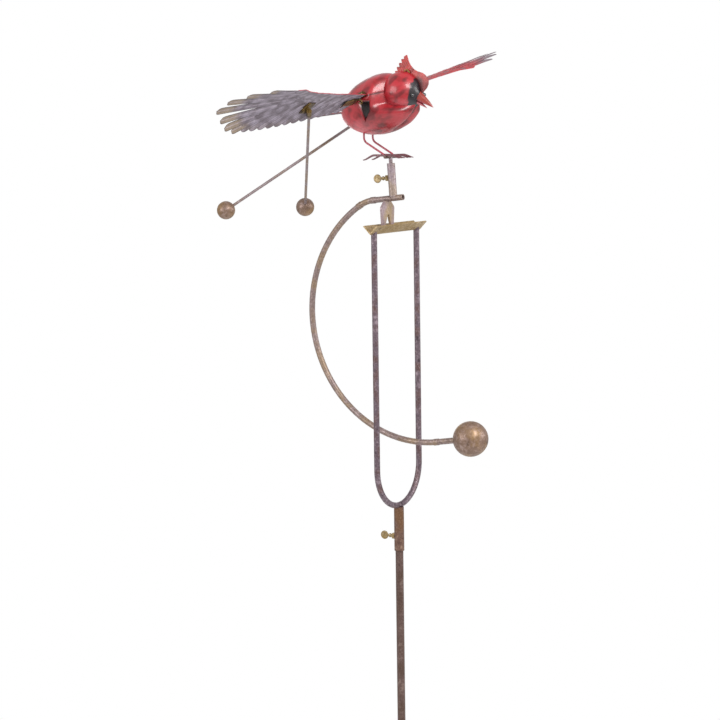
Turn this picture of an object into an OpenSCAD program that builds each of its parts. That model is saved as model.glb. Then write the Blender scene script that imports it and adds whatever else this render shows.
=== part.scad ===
// Bird balancer on a garden stake: a crested red bird rocks on a C-shaped
// counterweight arm that stands in a V trough, and each wing flaps against
// the weight of its own rod and ball.
//
// Millimetres, +Z up. The origin is on the stake's axis at ground level. The
// bird faces -Y, its right wing lies towards -X, and the trough runs along X.

/* [Stake] */
// Diameter of the round stake
stake_d = 12.7; // [10:0.1:16]
// Length of the spike below ground
spike_length = 240; // [160:10:320]
// Height of the stake joint above ground
joint_height = 350; // [250:10:450]
// Length of the upper stake that shows below the frame's sleeve
stake_reach = 344; // [200:2:450]
// Width of the step plate
step_width = 130; // [90:5:180]
// Thickness of the step plate
step_t = 5; // [3:0.5:8]

/* [Frame] */
// Centre distance of the two legs
leg_spacing = 128; // [100:2:170]
// Diameter of the bent frame tube
frame_tube_d = 9.5; // [8:0.1:12]
// Depth of the U, from the trough's valley to the bend's centre line
u_depth = 442; // [400:2:520]
// Outer diameter of the sleeve under the U
sleeve_d = 16; // [15.5:0.1:20]
// Length of the sleeve
sleeve_length = 71; // [50:1:100]
// Radial clearance of the stake in the sleeve
sleeve_clearance = 0.08; // [0.03:0.01:0.1]
// Length of the trough
trough_length = 151; // [140:1:190]
// Half width of the trough at its mouth
trough_half_w = 11.4; // [10:0.1:14]
// Thickness of the trough's sheet
trough_t = 2; // [1.5:0.1:2.5]

/* [Rocker] */
// Distance of the rocker from the trough's middle, towards the right wing
rocker_shift = 23.8; // [0:0.1:30]
// Diameter of the arm's tube
arm_tube_d = 9.5; // [8:0.1:11]
// Radius of the arm's bend
arm_radius = 202; // [180:1:205]
// Radius of the short bend at the top of the arm
arm_top_bend = 60; // [40:1:80]
// Rise of the arm's straight top towards the front, in degrees
arm_top_rise = 6; // [2:0.5:10]
// Diameter of the counter ball
counter_ball_d = 56; // [44:1:60]
// Diameter of the hollow inside the counter ball
counter_hollow_d = 35; // [4:0.1:44]
// Width of the pivot plate at its shoulders
plate_width = 36.7; // [30:0.1:42]
// Thickness of the pivot plate
plate_t = 4; // [3:0.1:5]
// Height of the notch between the plate's feet
notch_height = 26.5; // [18:0.5:30]
// Outer diameter of the bird post
post_d = 12.7; // [11:0.1:15]
// Length of the bird post
post_length = 50; // [40:1:70]
// Backward lean of the post, in degrees
post_lean = 3.9; // [0:0.1:6]

/* [Bird] */
// Diameter of the stem that stands in the post
stem_d = 6; // [5:0.1:7]
// Length of the body's shell along its axis
body_length = 142; // [120:1:160]
// Greatest diameter of the body's shell
body_d = 94; // [80:1:100]
// Thickness of the body and head sheet
shell_t = 0.9; // [0.7:0.1:1.4]
// Nose-up tilt of the body, in degrees
body_tilt = 14; // [5:1:25]
// Diameter of the head's shell
head_d = 65; // [55:1:72]
// Diameter of the leg wires
leg_wire_d = 3; // [2:0.1:4]
// Length of the tail fan
tail_length = 120; // [90:1:150]

/* [Wings] */
// Distance of each wing hinge from the bird's middle plane
hinge_out = 49; // [48:0.5:56]
// Nose-up tilt of the wing hinges, in degrees
hinge_tilt = 24; // [10:1:35]
// Reach of a wing from its hinge to the longest feather
wing_reach = 357; // [300:1:400]
// Thickness of the wing sheet
wing_t = 0.45; // [0.4:0.05:0.8]
// Rise of the right wing at rest, in degrees
right_wing_rise = 0.5; // [-5:0.5:12]
// Rise of the left wing at rest, in degrees
left_wing_rise = 10.5; // [-5:0.5:15]
// Twist of each wing on its hinge, nose up right and nose down left
wing_twist = 12; // [0:1:15]
// Forward sweep of the left wing, in degrees
left_wing_sweep = 4.5; // [0:0.5:8]
// Diameter of the wing rods
rod_d = 4.5; // [3:0.1:5]
// Diameter of the right wing's ball
right_ball_d = 30.25; // [26:0.01:34]
// Diameter of the left wing's ball
left_ball_d = 29.21; // [26:0.01:34]

/* [Screws] */
// Diameter of the thumbscrews' shanks
screw_d = 5; // [4:0.1:6]
// Diameter of the thumbscrews' round paddles
paddle_d = 14; // [10:0.5:18]

/* [Hidden] */
$fn = 48;
hull_fn = 24;
eps = 0.01;

bronze = "#6b5148";
golden = "#a98a4f";
red = "#c23b3b";
dark_grey = "#5d5560";

// Heights of the stand, upwards from the ground
sleeve_bottom = joint_height + stake_reach;
sleeve_top = sleeve_bottom + sleeve_length;
u_bottom = sleeve_top + 3;
valley_z = u_bottom + u_depth;

// The V trough: its flanks stand at 45 degrees
trough_root = trough_t * sqrt(2);
trough_depth = trough_half_w;

// The rocker turns about its feet's rounded tips, just above the valley
foot_tip_r = 0.4;
pivot_rise = 1.2;
pivot_z = valley_z + pivot_rise;
mid_x = -rocker_shift;

// Straight top of the arm, from its open front end, as [y, z]
arm_front = [-29.7, valley_z + 54.4];
arm_centre = [-56.8, arm_front[1] - 185.4 - (arm_radius - 202)];
top_dir = [cos(arm_top_rise), -sin(arm_top_rise)];
top_normal = [-sin(arm_top_rise), -cos(arm_top_rise)];
to_bend = arm_front + arm_top_bend * top_normal - arm_centre;
bend_root = arm_radius - arm_top_bend;
top_length = -to_bend * top_dir
    + sqrt(pow(to_bend * top_dir, 2) - to_bend * to_bend + bend_root * bend_root);
top_bend_centre = arm_front + top_length * top_dir + arm_top_bend * top_normal;
join_dir = (top_bend_centre - arm_centre) / bend_root;
join_angle = atan2(join_dir[1], join_dir[0]);
// The arm's bend ends here, past its lowest point, and a straight runs on to the ball
arm_end_angle = -98.3;
arm_end = arm_centre + arm_radius * [cos(arm_end_angle), sin(arm_end_angle)];
arm_tail = 62.6;
arm_tail_dir = [sin(arm_end_angle), -cos(arm_end_angle)];
ball_centre = arm_end + arm_tail * arm_tail_dir;
arm_wall = 1.2;

// The pivot plate reaches from the trough to the arm's underside
plate_top = arm_front[1] - arm_tube_d / 2 - 2.2;

// The post stands on the arm's straight top
post_foot = [-11.3, valley_z + 57.6];
post_dir = [sin(post_lean), cos(post_lean)];
post_bore_clearance = 0.08;
stem_top = post_length + 10;
post_screw_height = 27;

// Bird: heights and places are relative to the top of the stem
bird_base = post_foot + stem_top * post_dir;
body_centre = [9, valley_z + 199];
head_centre = [-31.9, valley_z + 218.4];
hinge_place = [23.8, valley_z + 211.6];
wing_offset = 6.3;

// Screws
nut_af = 9;
nut_t = 5;
paddle_t = 3;

// ---------- helpers ----------

// Moves a piece drawn about X = 0 to the bird's middle plane
module in_mid_plane() {
    translate([mid_x, 0, 0]) children();
}

// Mirrors a piece drawn for the left side (+X) to the side asked for
module on_side(side) {
    in_mid_plane() mirror([side < 0 ? 1 : 0, 0, 0]) children();
}

// Rod between two points, with square ends
module rod(from, to, d) {
    v = to - from;
    len = norm(v);
    translate(from)
        rotate([0, acos(v[2] / len), atan2(v[1], v[0])])
            cylinder(d = d, h = len);
}

// Wire along a list of points, with a slightly larger ball at each bend
module wire(points, d) {
    for (i = [0 : len(points) - 2]) rod(points[i], points[i + 1], d);
    for (i = [1 : len(points) - 2]) translate(points[i]) sphere(d = d + 0.5);
}

// Round bar bent in the YZ plane about a centre, between two angles
module bent_bar(centre, radius, from, to, d) {
    translate([0, centre[0], centre[1]])
        rotate([90, 0, 90])
            rotate([0, 0, from])
                rotate_extrude(angle = to - from, $fn = 96)
                    translate([radius, 0]) circle(d = d, $fn = 32);
}

// Straight round bar in the YZ plane from a point along a direction
module straight_bar(from, dir, length, d) {
    translate([0, from[0], from[1]])
        rotate([-90 + atan2(dir[1], dir[0]), 0, 0])
            cylinder(d = d, h = length);
}

// Hexagonal nut along +Y from the origin, with its bore
module weld_nut() {
    rotate([-90, 0, 0]) difference() {
        cylinder(d = nut_af / cos(30), h = nut_t, $fn = 6);
        translate([0, 0, -1]) cylinder(d = screw_d + 0.16, h = nut_t + 2);
    }
}

// Thumbscrew along +Y: its tip is at the origin
module thumbscrew(shank) {
    neck = 7;
    rotate([-90, 0, 0]) {
        cylinder(d = screw_d, h = shank);
        translate([0, 0, shank]) cylinder(d1 = screw_d, d2 = screw_d + 2, h = 2);
        translate([0, 0, shank + 2]) cylinder(d1 = screw_d + 2, d2 = 4, h = neck - 2);
        translate([-paddle_t / 2, 0, shank + neck + paddle_d / 2 - 1.5])
            rotate([0, 90, 0]) cylinder(d = paddle_d, h = paddle_t);
    }
}

// ---------- stake ----------

module ground_spike() {
    tip = 40;
    color(bronze) {
        translate([0, 0, -spike_length + tip]) cylinder(d = stake_d, h = spike_length - tip);
        translate([0, 0, -spike_length]) cylinder(d1 = 1.5, d2 = stake_d, h = tip);
    }
}

module step_plate() {
    prong_out = step_width / 2 - 8;
    prong_length = 90;
    color(bronze) {
        translate([-step_width / 2, -15, 0]) cube([step_width, 30, step_t]);
        for (side = [-1, 1]) {
            translate([side * prong_out, 0, -prong_length + 20])
                cylinder(d = 8, h = prong_length - 19);
            translate([side * prong_out, 0, -prong_length])
                cylinder(d1 = 1.5, d2 = 8, h = 20);
        }
    }
}

module lower_stake() {
    color(bronze)
        translate([0, 0, step_t]) cylinder(d = stake_d, h = joint_height - step_t);
}

coupler_clearance = 0.05;
coupler_length = 60;
coupler_wall = 1.6;

module stake_coupler() {
    color(bronze)
        translate([0, 0, joint_height - coupler_length / 2]) difference() {
            cylinder(d = stake_d + 2 * (coupler_clearance + coupler_wall), h = coupler_length);
            translate([0, 0, -1])
                cylinder(d = stake_d + 2 * coupler_clearance, h = coupler_length + 2);
        }
}

module upper_stake() {
    top_gap = 6;
    color(bronze)
        translate([0, 0, joint_height])
            cylinder(d = stake_d, h = sleeve_top - top_gap - joint_height);
}

// ---------- frame ----------

sleeve_screw_z = sleeve_bottom + 23;

module frame_sleeve() {
    color(bronze) difference() {
        translate([0, 0, sleeve_bottom]) cylinder(d = sleeve_d, h = sleeve_length);
        translate([0, 0, sleeve_bottom - 1])
            cylinder(d = stake_d + 2 * sleeve_clearance, h = sleeve_length - 3);
        translate([0, 0, sleeve_screw_z]) rotate([-90, 0, 0])
            cylinder(d = screw_d + 0.16, h = sleeve_d);
        frame_bend(frame_tube_d);
    }
}

module sleeve_nut() {
    color(golden) difference() {
        translate([0, sleeve_d / 2 - 1, sleeve_screw_z]) weld_nut();
        translate([0, 0, sleeve_bottom]) cylinder(d = sleeve_d, h = sleeve_length);
    }
}

module sleeve_thumbscrew() {
    tip_gap = 0.3;
    color(golden)
        translate([0, stake_d / 2 + tip_gap, sleeve_screw_z]) thumbscrew(8.5);
}

// Half-round bottom of the U, as a solid of the given diameter
module frame_bend(d) {
    r = leg_spacing / 2;
    translate([0, 0, u_bottom + r]) rotate([90, 0, 0])
        rotate([0, 0, 180]) rotate_extrude(angle = 180, $fn = 96)
            translate([r, 0]) circle(d = d, $fn = 32);
}

module trough_wedge() {
    size = 2 * trough_half_w + 10;
    translate([-trough_length, 0, valley_z - trough_root])
        rotate([45, 0, 0]) cube([2 * trough_length, size, size]);
}

module u_frame() {
    r = leg_spacing / 2;
    color(bronze) {
        frame_bend(frame_tube_d);
        for (side = [-1, 1]) difference() {
            translate([side * r, 0, u_bottom + r])
                cylinder(d = frame_tube_d, h = valley_z - u_bottom - r + 1.5);
            trough_wedge();
        }
    }
}

module trough() {
    w = trough_half_w;
    color(golden)
        translate([-trough_length / 2, 0, valley_z]) rotate([90, 0, 90])
            linear_extrude(height = trough_length)
                polygon([
                    [0, -trough_root], [w + trough_t / sqrt(2), w - trough_t / sqrt(2)],
                    [w, w], [0, 0], [-w, w],
                    [-w - trough_t / sqrt(2), w - trough_t / sqrt(2)]
                ]);
}

// ---------- rocker ----------

module plate_outline() {
    foot_out = plate_width / 2 - 3;
    height = plate_top - valley_z;
    shoulder = height - 6;
    difference() {
        hull() {
            for (side = [-1, 1]) {
                translate([side * (plate_width / 2 - 6), shoulder - 6])
                    circle(r = 6, $fn = hull_fn);
                translate([side * (foot_out - 1.2), pivot_rise]) circle(r = 1.2, $fn = hull_fn);
            }
            translate([-8, height - 1]) square([16, 1 + 0.8]);
        }
        polygon([[-foot_out + 2.4, -3], [-2, notch_height], [2, notch_height], [foot_out - 2.4, -3]]);
    }
}

// Side view of the plate: full thickness above, tapering to rounded foot tips
module plate_section() {
    taper = 9;
    hull() {
        translate([0, pivot_rise]) circle(r = foot_tip_r, $fn = hull_fn);
        translate([-plate_t / 2, pivot_rise + taper]) square([plate_t, 1]);
    }
    translate([-plate_t / 2, pivot_rise + taper])
        square([plate_t, plate_top - valley_z + 4 - pivot_rise - taper]);
}

module pivot_plate() {
    color(golden) in_mid_plane() translate([0, 0, valley_z])
        difference() {
            intersection() {
                rotate([90, 0, 0])
                    translate([0, 0, -plate_t / 2 - 1]) linear_extrude(height = plate_t + 2)
                        plate_outline();
                rotate([90, 0, 90])
                    translate([0, 0, -plate_width]) linear_extrude(height = 2 * plate_width)
                        plate_section();
            }
            translate([0, 0, -valley_z]) arm_solid();
        }
}

// The arm's straight top as a full bar, for cutting what seats on it
module arm_solid() {
    straight_bar(arm_front, top_dir, top_length, arm_tube_d);
}

// The arm's whole run as a full bar, open front end to just inside the ball,
// with a collar at each welded joint
module arm_run(d, front, collar) {
    half = 4;
    top_end = arm_front + top_length * top_dir;
    join = arm_centre + arm_radius * join_dir;
    join_tail = [join_dir[1], -join_dir[0]];
    straight_bar(arm_front - front * top_dir, top_dir, top_length + front, d);
    bent_bar(top_bend_centre, arm_top_bend, join_angle, 90 - arm_top_rise, d);
    bent_bar(arm_centre, arm_radius, arm_end_angle, join_angle, d);
    straight_bar(arm_end, arm_tail_dir, arm_tail - counter_ball_d / 2 + 4, d);
    straight_bar(top_end - half * top_dir, top_dir, 2 * half, d + collar);
    straight_bar(join - half * join_tail, join_tail, 2 * half, d + collar);
    straight_bar(arm_end - half * arm_tail_dir, arm_tail_dir, 2 * half, d + collar);
}

module rocker_arm() {
    color(bronze) in_mid_plane() difference() {
        arm_run(arm_tube_d, 0, 1.2);
        arm_run(arm_tube_d - 2 * arm_wall, 1, 0.8);
        translate([0, ball_centre[0], ball_centre[1]]) sphere(d = counter_ball_d);
    }
}

module counter_ball() {
    color(bronze) in_mid_plane() translate([0, ball_centre[0], ball_centre[1]])
        difference() {
            sphere(d = counter_ball_d, $fn = 64);
            sphere(d = counter_hollow_d);
        }
}

// Puts a piece drawn upwards from the origin on the post's axis
module on_post() {
    in_mid_plane() translate([0, post_foot[0], post_foot[1]])
        rotate([-post_lean, 0, 0]) children();
}

module bird_post() {
    bore = stem_d + 2 * post_bore_clearance;
    color(bronze) difference() {
        on_post() difference() {
            translate([0, 0, -3]) cylinder(d = post_d, h = post_length + 3);
            translate([0, 0, 6]) cylinder(d = bore, h = post_length);
            translate([0, 0, post_screw_height]) rotate([-90, 0, 0])
                cylinder(d = screw_d + 0.16, h = post_d);
        }
        in_mid_plane() arm_solid();
    }
}

module post_nut() {
    color(golden) on_post() difference() {
        translate([0, post_d / 2 - 1, post_screw_height]) weld_nut();
        cylinder(d = post_d, h = post_length);
    }
}

module post_thumbscrew() {
    tip_gap = 0.3;
    color(golden) on_post()
        translate([0, stem_d / 2 + tip_gap, post_screw_height]) thumbscrew(11);
}

// ---------- bird ----------

stem_root = 8;
perch_half = 17;

module bird_stem() {
    color(golden) on_post()
        translate([0, 0, stem_root]) cylinder(d = stem_d, h = stem_top - stem_root - 0.5);
}

module perch_bar() {
    bar_d = 5;
    color(bronze) on_post() translate([-perch_half, 0, stem_top])
        rotate([0, 90, 0]) difference() {
            cylinder(d = bar_d, h = 2 * perch_half);
            translate([0.5, 0, perch_half]) rotate([0, 90, 0]) cylinder(d = stem_d, h = 6);
        }
}

foot_out = 13;
foot_z = bird_base[1] + 0.5;
foot_y = bird_base[0];

// Toes of one foot as rods from the ankle: three forward and one back
module foot(side) {
    d = 3.2;
    ankle = [foot_out, foot_y, foot_z + 2.2];
    on_side(side) color(bronze) difference() {
        union() {
            for (spread = [-8, 0, 8])
                rod(ankle, [foot_out + spread, foot_y - 37, foot_z - 1.5], d);
            rod(ankle, [foot_out, foot_y + 48, foot_z - 5.5], d);
            translate(ankle) sphere(d = 6);
        }
        in_mid_plane_undo() on_post() translate([-perch_half, 0, stem_top])
            rotate([0, 90, 0]) cylinder(d = 5, h = 2 * perch_half);
    }
}

module in_mid_plane_undo() {
    translate([-mid_x, 0, 0]) children();
}

module right_foot() { foot(-1); }
module left_foot() { foot(1); }

knee = [foot_out, 33, valley_z + 142];
hip = [foot_out, 33.5, valley_z + 157];

// Leg wire: down from the body, then forward to the foot
module leg(side) {
    color(red) difference() {
        on_side(side)
            wire([[foot_out, 33.5, valley_z + 163], knee,
                  [foot_out, foot_y + 3, foot_z + 4.6]], leg_wire_d);
        body_solid();
        if (side < 0) right_foot(); else left_foot();
    }
}

module right_leg() { leg(-1); }
module left_leg() { leg(1); }

// Half outline of the body as [distance from the axis, place along it]:
// full and round in front, drawn out to a narrow rear
function body_profile(inset) =
    let (a = body_length / 2 - inset, r = body_d / 2 - inset)
    [for (i = [0 : 24])
        let (t = 180 * i / 24, along = a * cos(t), taper = 1 - 0.16 * (1 - cos(t)) / 2)
        [max(0, r * sin(t) * taper / 0.923), along]];

// Puts a solid of revolution drawn about Z on the body's axis, nose forward
module on_body_axis() {
    in_mid_plane() translate([0, body_centre[0], body_centre[1]])
        rotate([90 - body_tilt, 0, 0]) children();
}

module body_solid() {
    on_body_axis() rotate_extrude($fn = 96) polygon(body_profile(0));
}

module half_body(side) {
    outer = body_profile(0);
    inner = body_profile(shell_t);
    on_body_axis() rotate([0, 0, side > 0 ? -90 : 90])
        rotate_extrude(angle = 180, $fn = 96)
            polygon(concat(outer, [for (i = [24 : -1 : 0]) inner[i]]));
}

module head_place() {
    in_mid_plane() translate([0, head_centre[0], head_centre[1]]) children();
}

module half_head(side) {
    head_place() difference() {
        sphere(d = head_d, $fn = 64);
        sphere(d = head_d - 2 * shell_t, $fn = 64);
        translate([side > 0 ? -head_d : 0, -head_d, -head_d]) cube([head_d, 2 * head_d, 2 * head_d]);
    }
}

module body_right_shell() { color(red) half_body(-1); }
module body_left_shell() { color(red) half_body(1); }

module head_right_shell() {
    color(red) difference() { half_head(-1); body_solid(); }
}

module head_left_shell() {
    color(red) difference() { half_head(1); body_solid(); }
}

beak_droop = 25;
beak_base = [-56, valley_z + 212];

// Puts a cone drawn along +Z on the beak's line, forward and down
module on_beak(drop) {
    in_mid_plane() translate([0, beak_base[0], beak_base[1] - drop])
        rotate([90 + beak_droop, 0, 0]) children();
}

module upper_beak() {
    color("#8c3a2c") difference() {
        on_beak(0) cylinder(d1 = 21, d2 = 2, h = 37);
        head_place() sphere(d = head_d, $fn = 64);
        body_solid();
    }
}

module lower_beak() {
    color("#9a4a46") difference() {
        on_beak(7.5) cylinder(d1 = 15, d2 = 2, h = 24);
        head_place() sphere(d = head_d, $fn = 64);
        on_beak(0) translate([0, 0, -eps]) cylinder(d1 = 21, d2 = 2, h = 37);
        body_solid();
    }
}

// Side view of the crest as [forward, up] from the head's centre
function crest_teeth() = [
    for (i = [0 : 4]) each [
        [6 - i * 3.4, 53 - i * 4.8],
        [1.5 - i * 3.4, 57 - i * 5.6]
    ]];

module crest() {
    t = 1.6;
    color(red) difference() {
        head_place() rotate([90, 0, -90]) translate([0, 0, -t / 2]) linear_extrude(height = t)
            polygon(concat(
                [[37, 0], [43.5, 6], [46.6, 12], [46.8, 17], [45, 21.5], [41.5, 26], [36, 29.5], [27, 32],
                 [21, 35], [16.5, 39.5], [13, 44], [10.5, 50], [9, 58]],
                crest_teeth(),
                [[-12, 27], [-5, 20], [20, 8]]));
        head_place() sphere(d = head_d, $fn = 64);
        body_solid();
        upper_beak();
        lower_beak();
    }
}

// Eye bead on the head's surface, ahead and a little low
module eye(side) {
    color("#141414") difference() {
        head_place() rotate([0, 0, side * 33]) rotate([98, 0, 0])
            translate([0, 0, head_d / 2 - 0.6]) rotate_extrude()
                polygon([[0, 0], [3, 0], [3, 1.2], [2.8, 2], [2.2, 2.8], [1.2, 3.4], [0, 3.6]]);
        head_place() sphere(d = head_d, $fn = 200);
    }
}

module right_eye() { eye(-1); }
module left_eye() { eye(1); }

tail_root_y = 72;
tail_droop = 6;

// Tail fan: straight feathers side by side, with notched ends
module tail() {
    t = 1.2;
    root_w = 24;
    end_w = 52;
    color(red) difference() {
        in_mid_plane() translate([0, tail_root_y - 8, body_centre[1] - 10])
            rotate([-tail_droop, 0, 0]) translate([0, 0, -t / 2]) linear_extrude(height = t)
                polygon(concat(
                    [[-root_w / 2, 0], [root_w / 2, 0]],
                    [for (i = [0 : 4]) let (x = end_w / 2 - i * end_w / 5) each [
                        [x, tail_length - 3 - 1.5 * abs(i - 0.5)],
                        [x - end_w / 10, tail_length + 4 - abs(i - 2)],
                        [x - end_w / 5 + 0.8, tail_length - 3]]]));
        body_solid();
    }
}

// ---------- wing hinges ----------

hinge_half = 15;
knuckle_half = 6;
knuckle_gap = 0.4;
pin_d = 3;
eye_d = 8;
pin_clearance = 0.06;

// Puts a piece on one hinge: X outwards, Y along the hinge towards the tail
module on_hinge(side) {
    on_side(side) translate([hinge_out, hinge_place[0], hinge_place[1]])
        rotate([-hinge_tilt, 0, 0]) children();
}

// Barrel along the hinge between two places, with the pin's bore
module barrel(from, to, bore) {
    translate([0, from, 0]) rotate([-90, 0, 0]) difference() {
        cylinder(d = eye_d, h = to - from);
        translate([0, 0, -1]) cylinder(d = bore, h = to - from + 2);
    }
}

// Body side: two eyes, each on a strap that is welded to the shell
module hinge_bracket(side) {
    color(golden) difference() {
        bracket_blank(side);
        body_solid();
        on_hinge(side) translate([-40, -40, -40]) cube([24, 80, 80]);
    }
}

module bracket_blank(side) {
    union() {
        on_hinge(side) for (end = [-1, 1]) {
            from = end < 0 ? -hinge_half : knuckle_half + knuckle_gap;
            to = end < 0 ? -knuckle_half - knuckle_gap : hinge_half;
            barrel(from, to, pin_d);
            translate([-20, from, -3.7]) cube([20, to - from, strap_t]);
        }
        on_hinge(side) translate([-20, -hinge_half, -3.7])
            cube([15, 2 * hinge_half, strap_t]);
    }
}

module right_hinge_bracket() { hinge_bracket(-1); }
module left_hinge_bracket() { hinge_bracket(1); }

module hinge_pin(side) {
    head = 1.5;
    color(golden) on_hinge(side) translate([0, -hinge_half, 0]) rotate([-90, 0, 0]) {
        cylinder(d = pin_d, h = 2 * hinge_half);
        translate([0, 0, -head]) cylinder(d = pin_d + 2.4, h = head);
        translate([0, 0, 2 * hinge_half]) cylinder(d = pin_d + 2.4, h = head);
    }
}

module right_hinge_pin() { hinge_pin(-1); }
module left_hinge_pin() { hinge_pin(1); }

// ---------- wings ----------

function wing_rise(side) = side < 0 ? right_wing_rise : left_wing_rise;
function twist(side) = side < 0 ? wing_twist : -wing_twist;
function sweep(side) = side < 0 ? 0 : left_wing_sweep;
function lift(side) = side < 0 ? -wing_offset : wing_offset;

// Puts a piece on a wing's sheet: X outwards, Y towards the tail, Z up
module on_wing(side) {
    on_hinge(side) rotate([0, -wing_rise(side), 0]) rotate([-twist(side), 0, 0])
        rotate([0, 0, -sweep(side)]) translate([0, 0, lift(side)]) children();
}

// Round end of one cut feather, from its front side to its rear side
function feather_end(root, tip, w, from) =
    let (v = tip - root, u = v / norm(v), n = [-u[1], u[0]])
    [for (a = [from : 30 : 90]) tip + w / 2 * (cos(a) * u + sin(a) * n)];

// Leading edge as [outwards, rearwards], from the root to the wrist
leading_edge = [[6, -19], [36, -21], [92, -22], [148, -27], [190, -34], [203, -38], [218, -38]];

// Long feathers of the hand: [root, tip, width, notch behind it]
primaries = [
    [[232, -30], [275, -31], 10, [256, -24]],
    [[262, -20], [316, -17], 11, [290, -10]],
    [[276, -8], [345, 0], 11, [302, 9]],
    [[280, 4], [350, 20], 11, [294, 27]],
    [[272, 16], [323, 39], 11, [282, 38]],
    [[258, 22], [301, 53], 10, [267, 44]],
    [[246, 22], [280, 56], 9, [258, 45]]
];

// Rear feathers: they shorten and turn towards the root
secondary_count = 10;
function secondary(i) =
    let (f = i / (secondary_count - 1), x = 232 - 188 * f)
    [[x - 6, 22], [x + 10 - 8 * f, 47 - 20 * pow(f, 1.4)], 18];
function rear_notch(i) =
    (secondary(i)[1] + secondary(i + 1)[1]) / 2 - [0, 3];

module wing_outline() {
    k = wing_reach / 357;
    polygon(k * concat(
        leading_edge,
        [for (p = primaries) each concat(feather_end(p[0], p[1], p[2], -90), [p[3]])],
        [for (i = [0 : secondary_count - 1])
            each concat(
                feather_end(secondary(i)[0], secondary(i)[1], secondary(i)[2], -30),
                i < secondary_count - 1 ? [rear_notch(i)] : [])],
        [[20, 22], [10, 16]]));
}

// The sheet is rolled along its length: high in the middle, hollow below
roll_radius = 140;
roll_apex = 6;

// Shell that follows the sheet, between two heights from its middle
module rolled(below, above) {
    translate([-20, roll_apex, -roll_radius]) rotate([0, 90, 0]) difference() {
        cylinder(r = roll_radius + above, h = wing_reach + 60);
        translate([0, 0, -1]) cylinder(r = roll_radius + below, h = wing_reach + 62);
    }
}

face = wing_t / 2;
strap_t = 2;
base_t = 1.5;
rivet_d = 3;
rivet_head_d = 6;
rivet_head_t = 0.9;

// The knuckle's strap lies on the face towards the hinge: above the right
// wing's sheet and below the left wing's
function strap_range(side) = side < 0 ? [face, face + strap_t] : [-face - strap_t, -face];

knuckle_rivets = [[20, -4.5], [20, 4.5]];
function rod_at(side) = side < 0 ? [130, 15] : [92, 20];
function rod_rivets(side) = [rod_at(side) + [0, -7], rod_at(side) + [0, 7]];

// Round bars through the sheet at the rivets
module rivet_bars(points, d) {
    for (p = points) translate([p[0], p[1], -12]) cylinder(d = d, h = 24);
}

module wing(side) {
    color(side < 0 ? dark_grey : red) on_wing(side) difference() {
        intersection() {
            translate([0, 0, -40]) linear_extrude(height = 80) wing_outline();
            rolled(-face, face);
        }
        rivet_bars(knuckle_rivets, rivet_d);
        rivet_bars(rod_rivets(side), rivet_d);
    }
}

module right_wing() { wing(-1); }
module left_wing() { wing(1); }

// Everything that turns with a wing but is drawn on the hinge
module on_wing_hinge(side) {
    on_hinge(side) rotate([0, -wing_rise(side), 0]) children();
}

module wing_knuckle(side) {
    bore = pin_d + 2 * pin_clearance;
    strap = strap_range(side);
    color(golden) difference() {
        union() {
            on_wing_hinge(side) barrel(-knuckle_half, knuckle_half, bore);
            on_wing_hinge(side)
                translate([0.5, -knuckle_half, side < 0 ? -9 : 2]) cube([9, 2 * knuckle_half, 7]);
            on_wing(side) intersection() {
                translate([6, -8, -20]) cube([21, 16, 40]);
                rolled(strap[0], strap[1]);
            }
        }
        on_wing_hinge(side) translate([0, -20, 0]) rotate([-90, 0, 0])
            cylinder(d = bore, h = 40);
        on_wing(side) rolled(side < 0 ? -30 : -face, side < 0 ? face : 30);
        on_wing(side) rivet_bars(knuckle_rivets, rivet_d);
    }
}

module right_wing_knuckle() { wing_knuckle(-1); }
module left_wing_knuckle() { wing_knuckle(1); }

// ---------- rods and balls of the wings ----------

function turn_x(a, p) = [p[0], p[1] * cos(a) - p[2] * sin(a), p[1] * sin(a) + p[2] * cos(a)];
function turn_y(a, p) = [p[0] * cos(a) + p[2] * sin(a), p[1], -p[0] * sin(a) + p[2] * cos(a)];
function turn_z(a, p) = [p[0] * cos(a) - p[1] * sin(a), p[0] * sin(a) + p[1] * cos(a), p[2]];

// Where a point of a wing's sheet is at rest
function from_wing(side, p) =
    let (
        a = turn_z(-sweep(side), p + [0, 0, lift(side)]),
        b = turn_y(-wing_rise(side), turn_x(-twist(side), a)),
        c = turn_x(-hinge_tilt, b) + [hinge_out, hinge_place[0], hinge_place[1]]
    )
    [mid_x + side * c[0], c[1], c[2]];

socket_d = 8;
socket_drop = 7.5;

// Each rod starts under its own wing and ends in a ball on the other side
function rod_start(side) =
    from_wing(side, [rod_at(side)[0] - 7, rod_at(side)[1] + 3, -socket_drop]);
function wing_ball_place(side) =
    side < 0 ? [mid_x + 95.2, 219.1, valley_z + 29.7] : [mid_x - 95.3, 244.2, valley_z + 34.1];
function rod_dir(side) =
    let (v = wing_ball_place(side) - rod_start(side)) v / norm(v);
function wing_ball_d(side) = side < 0 ? right_ball_d : left_ball_d;

module wing_rod(side) {
    color(bronze)
        rod(rod_start(side), wing_ball_place(side) - 8 * rod_dir(side), rod_d);
}

module right_wing_rod() { wing_rod(-1); }
module left_wing_rod() { wing_rod(1); }

module wing_ball(side) {
    color(bronze) difference() {
        translate(wing_ball_place(side)) sphere(d = wing_ball_d(side), $fn = 64);
        wing_rod(side);
    }
}

module right_wing_ball() { wing_ball(-1); }
module left_wing_ball() { wing_ball(1); }

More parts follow.
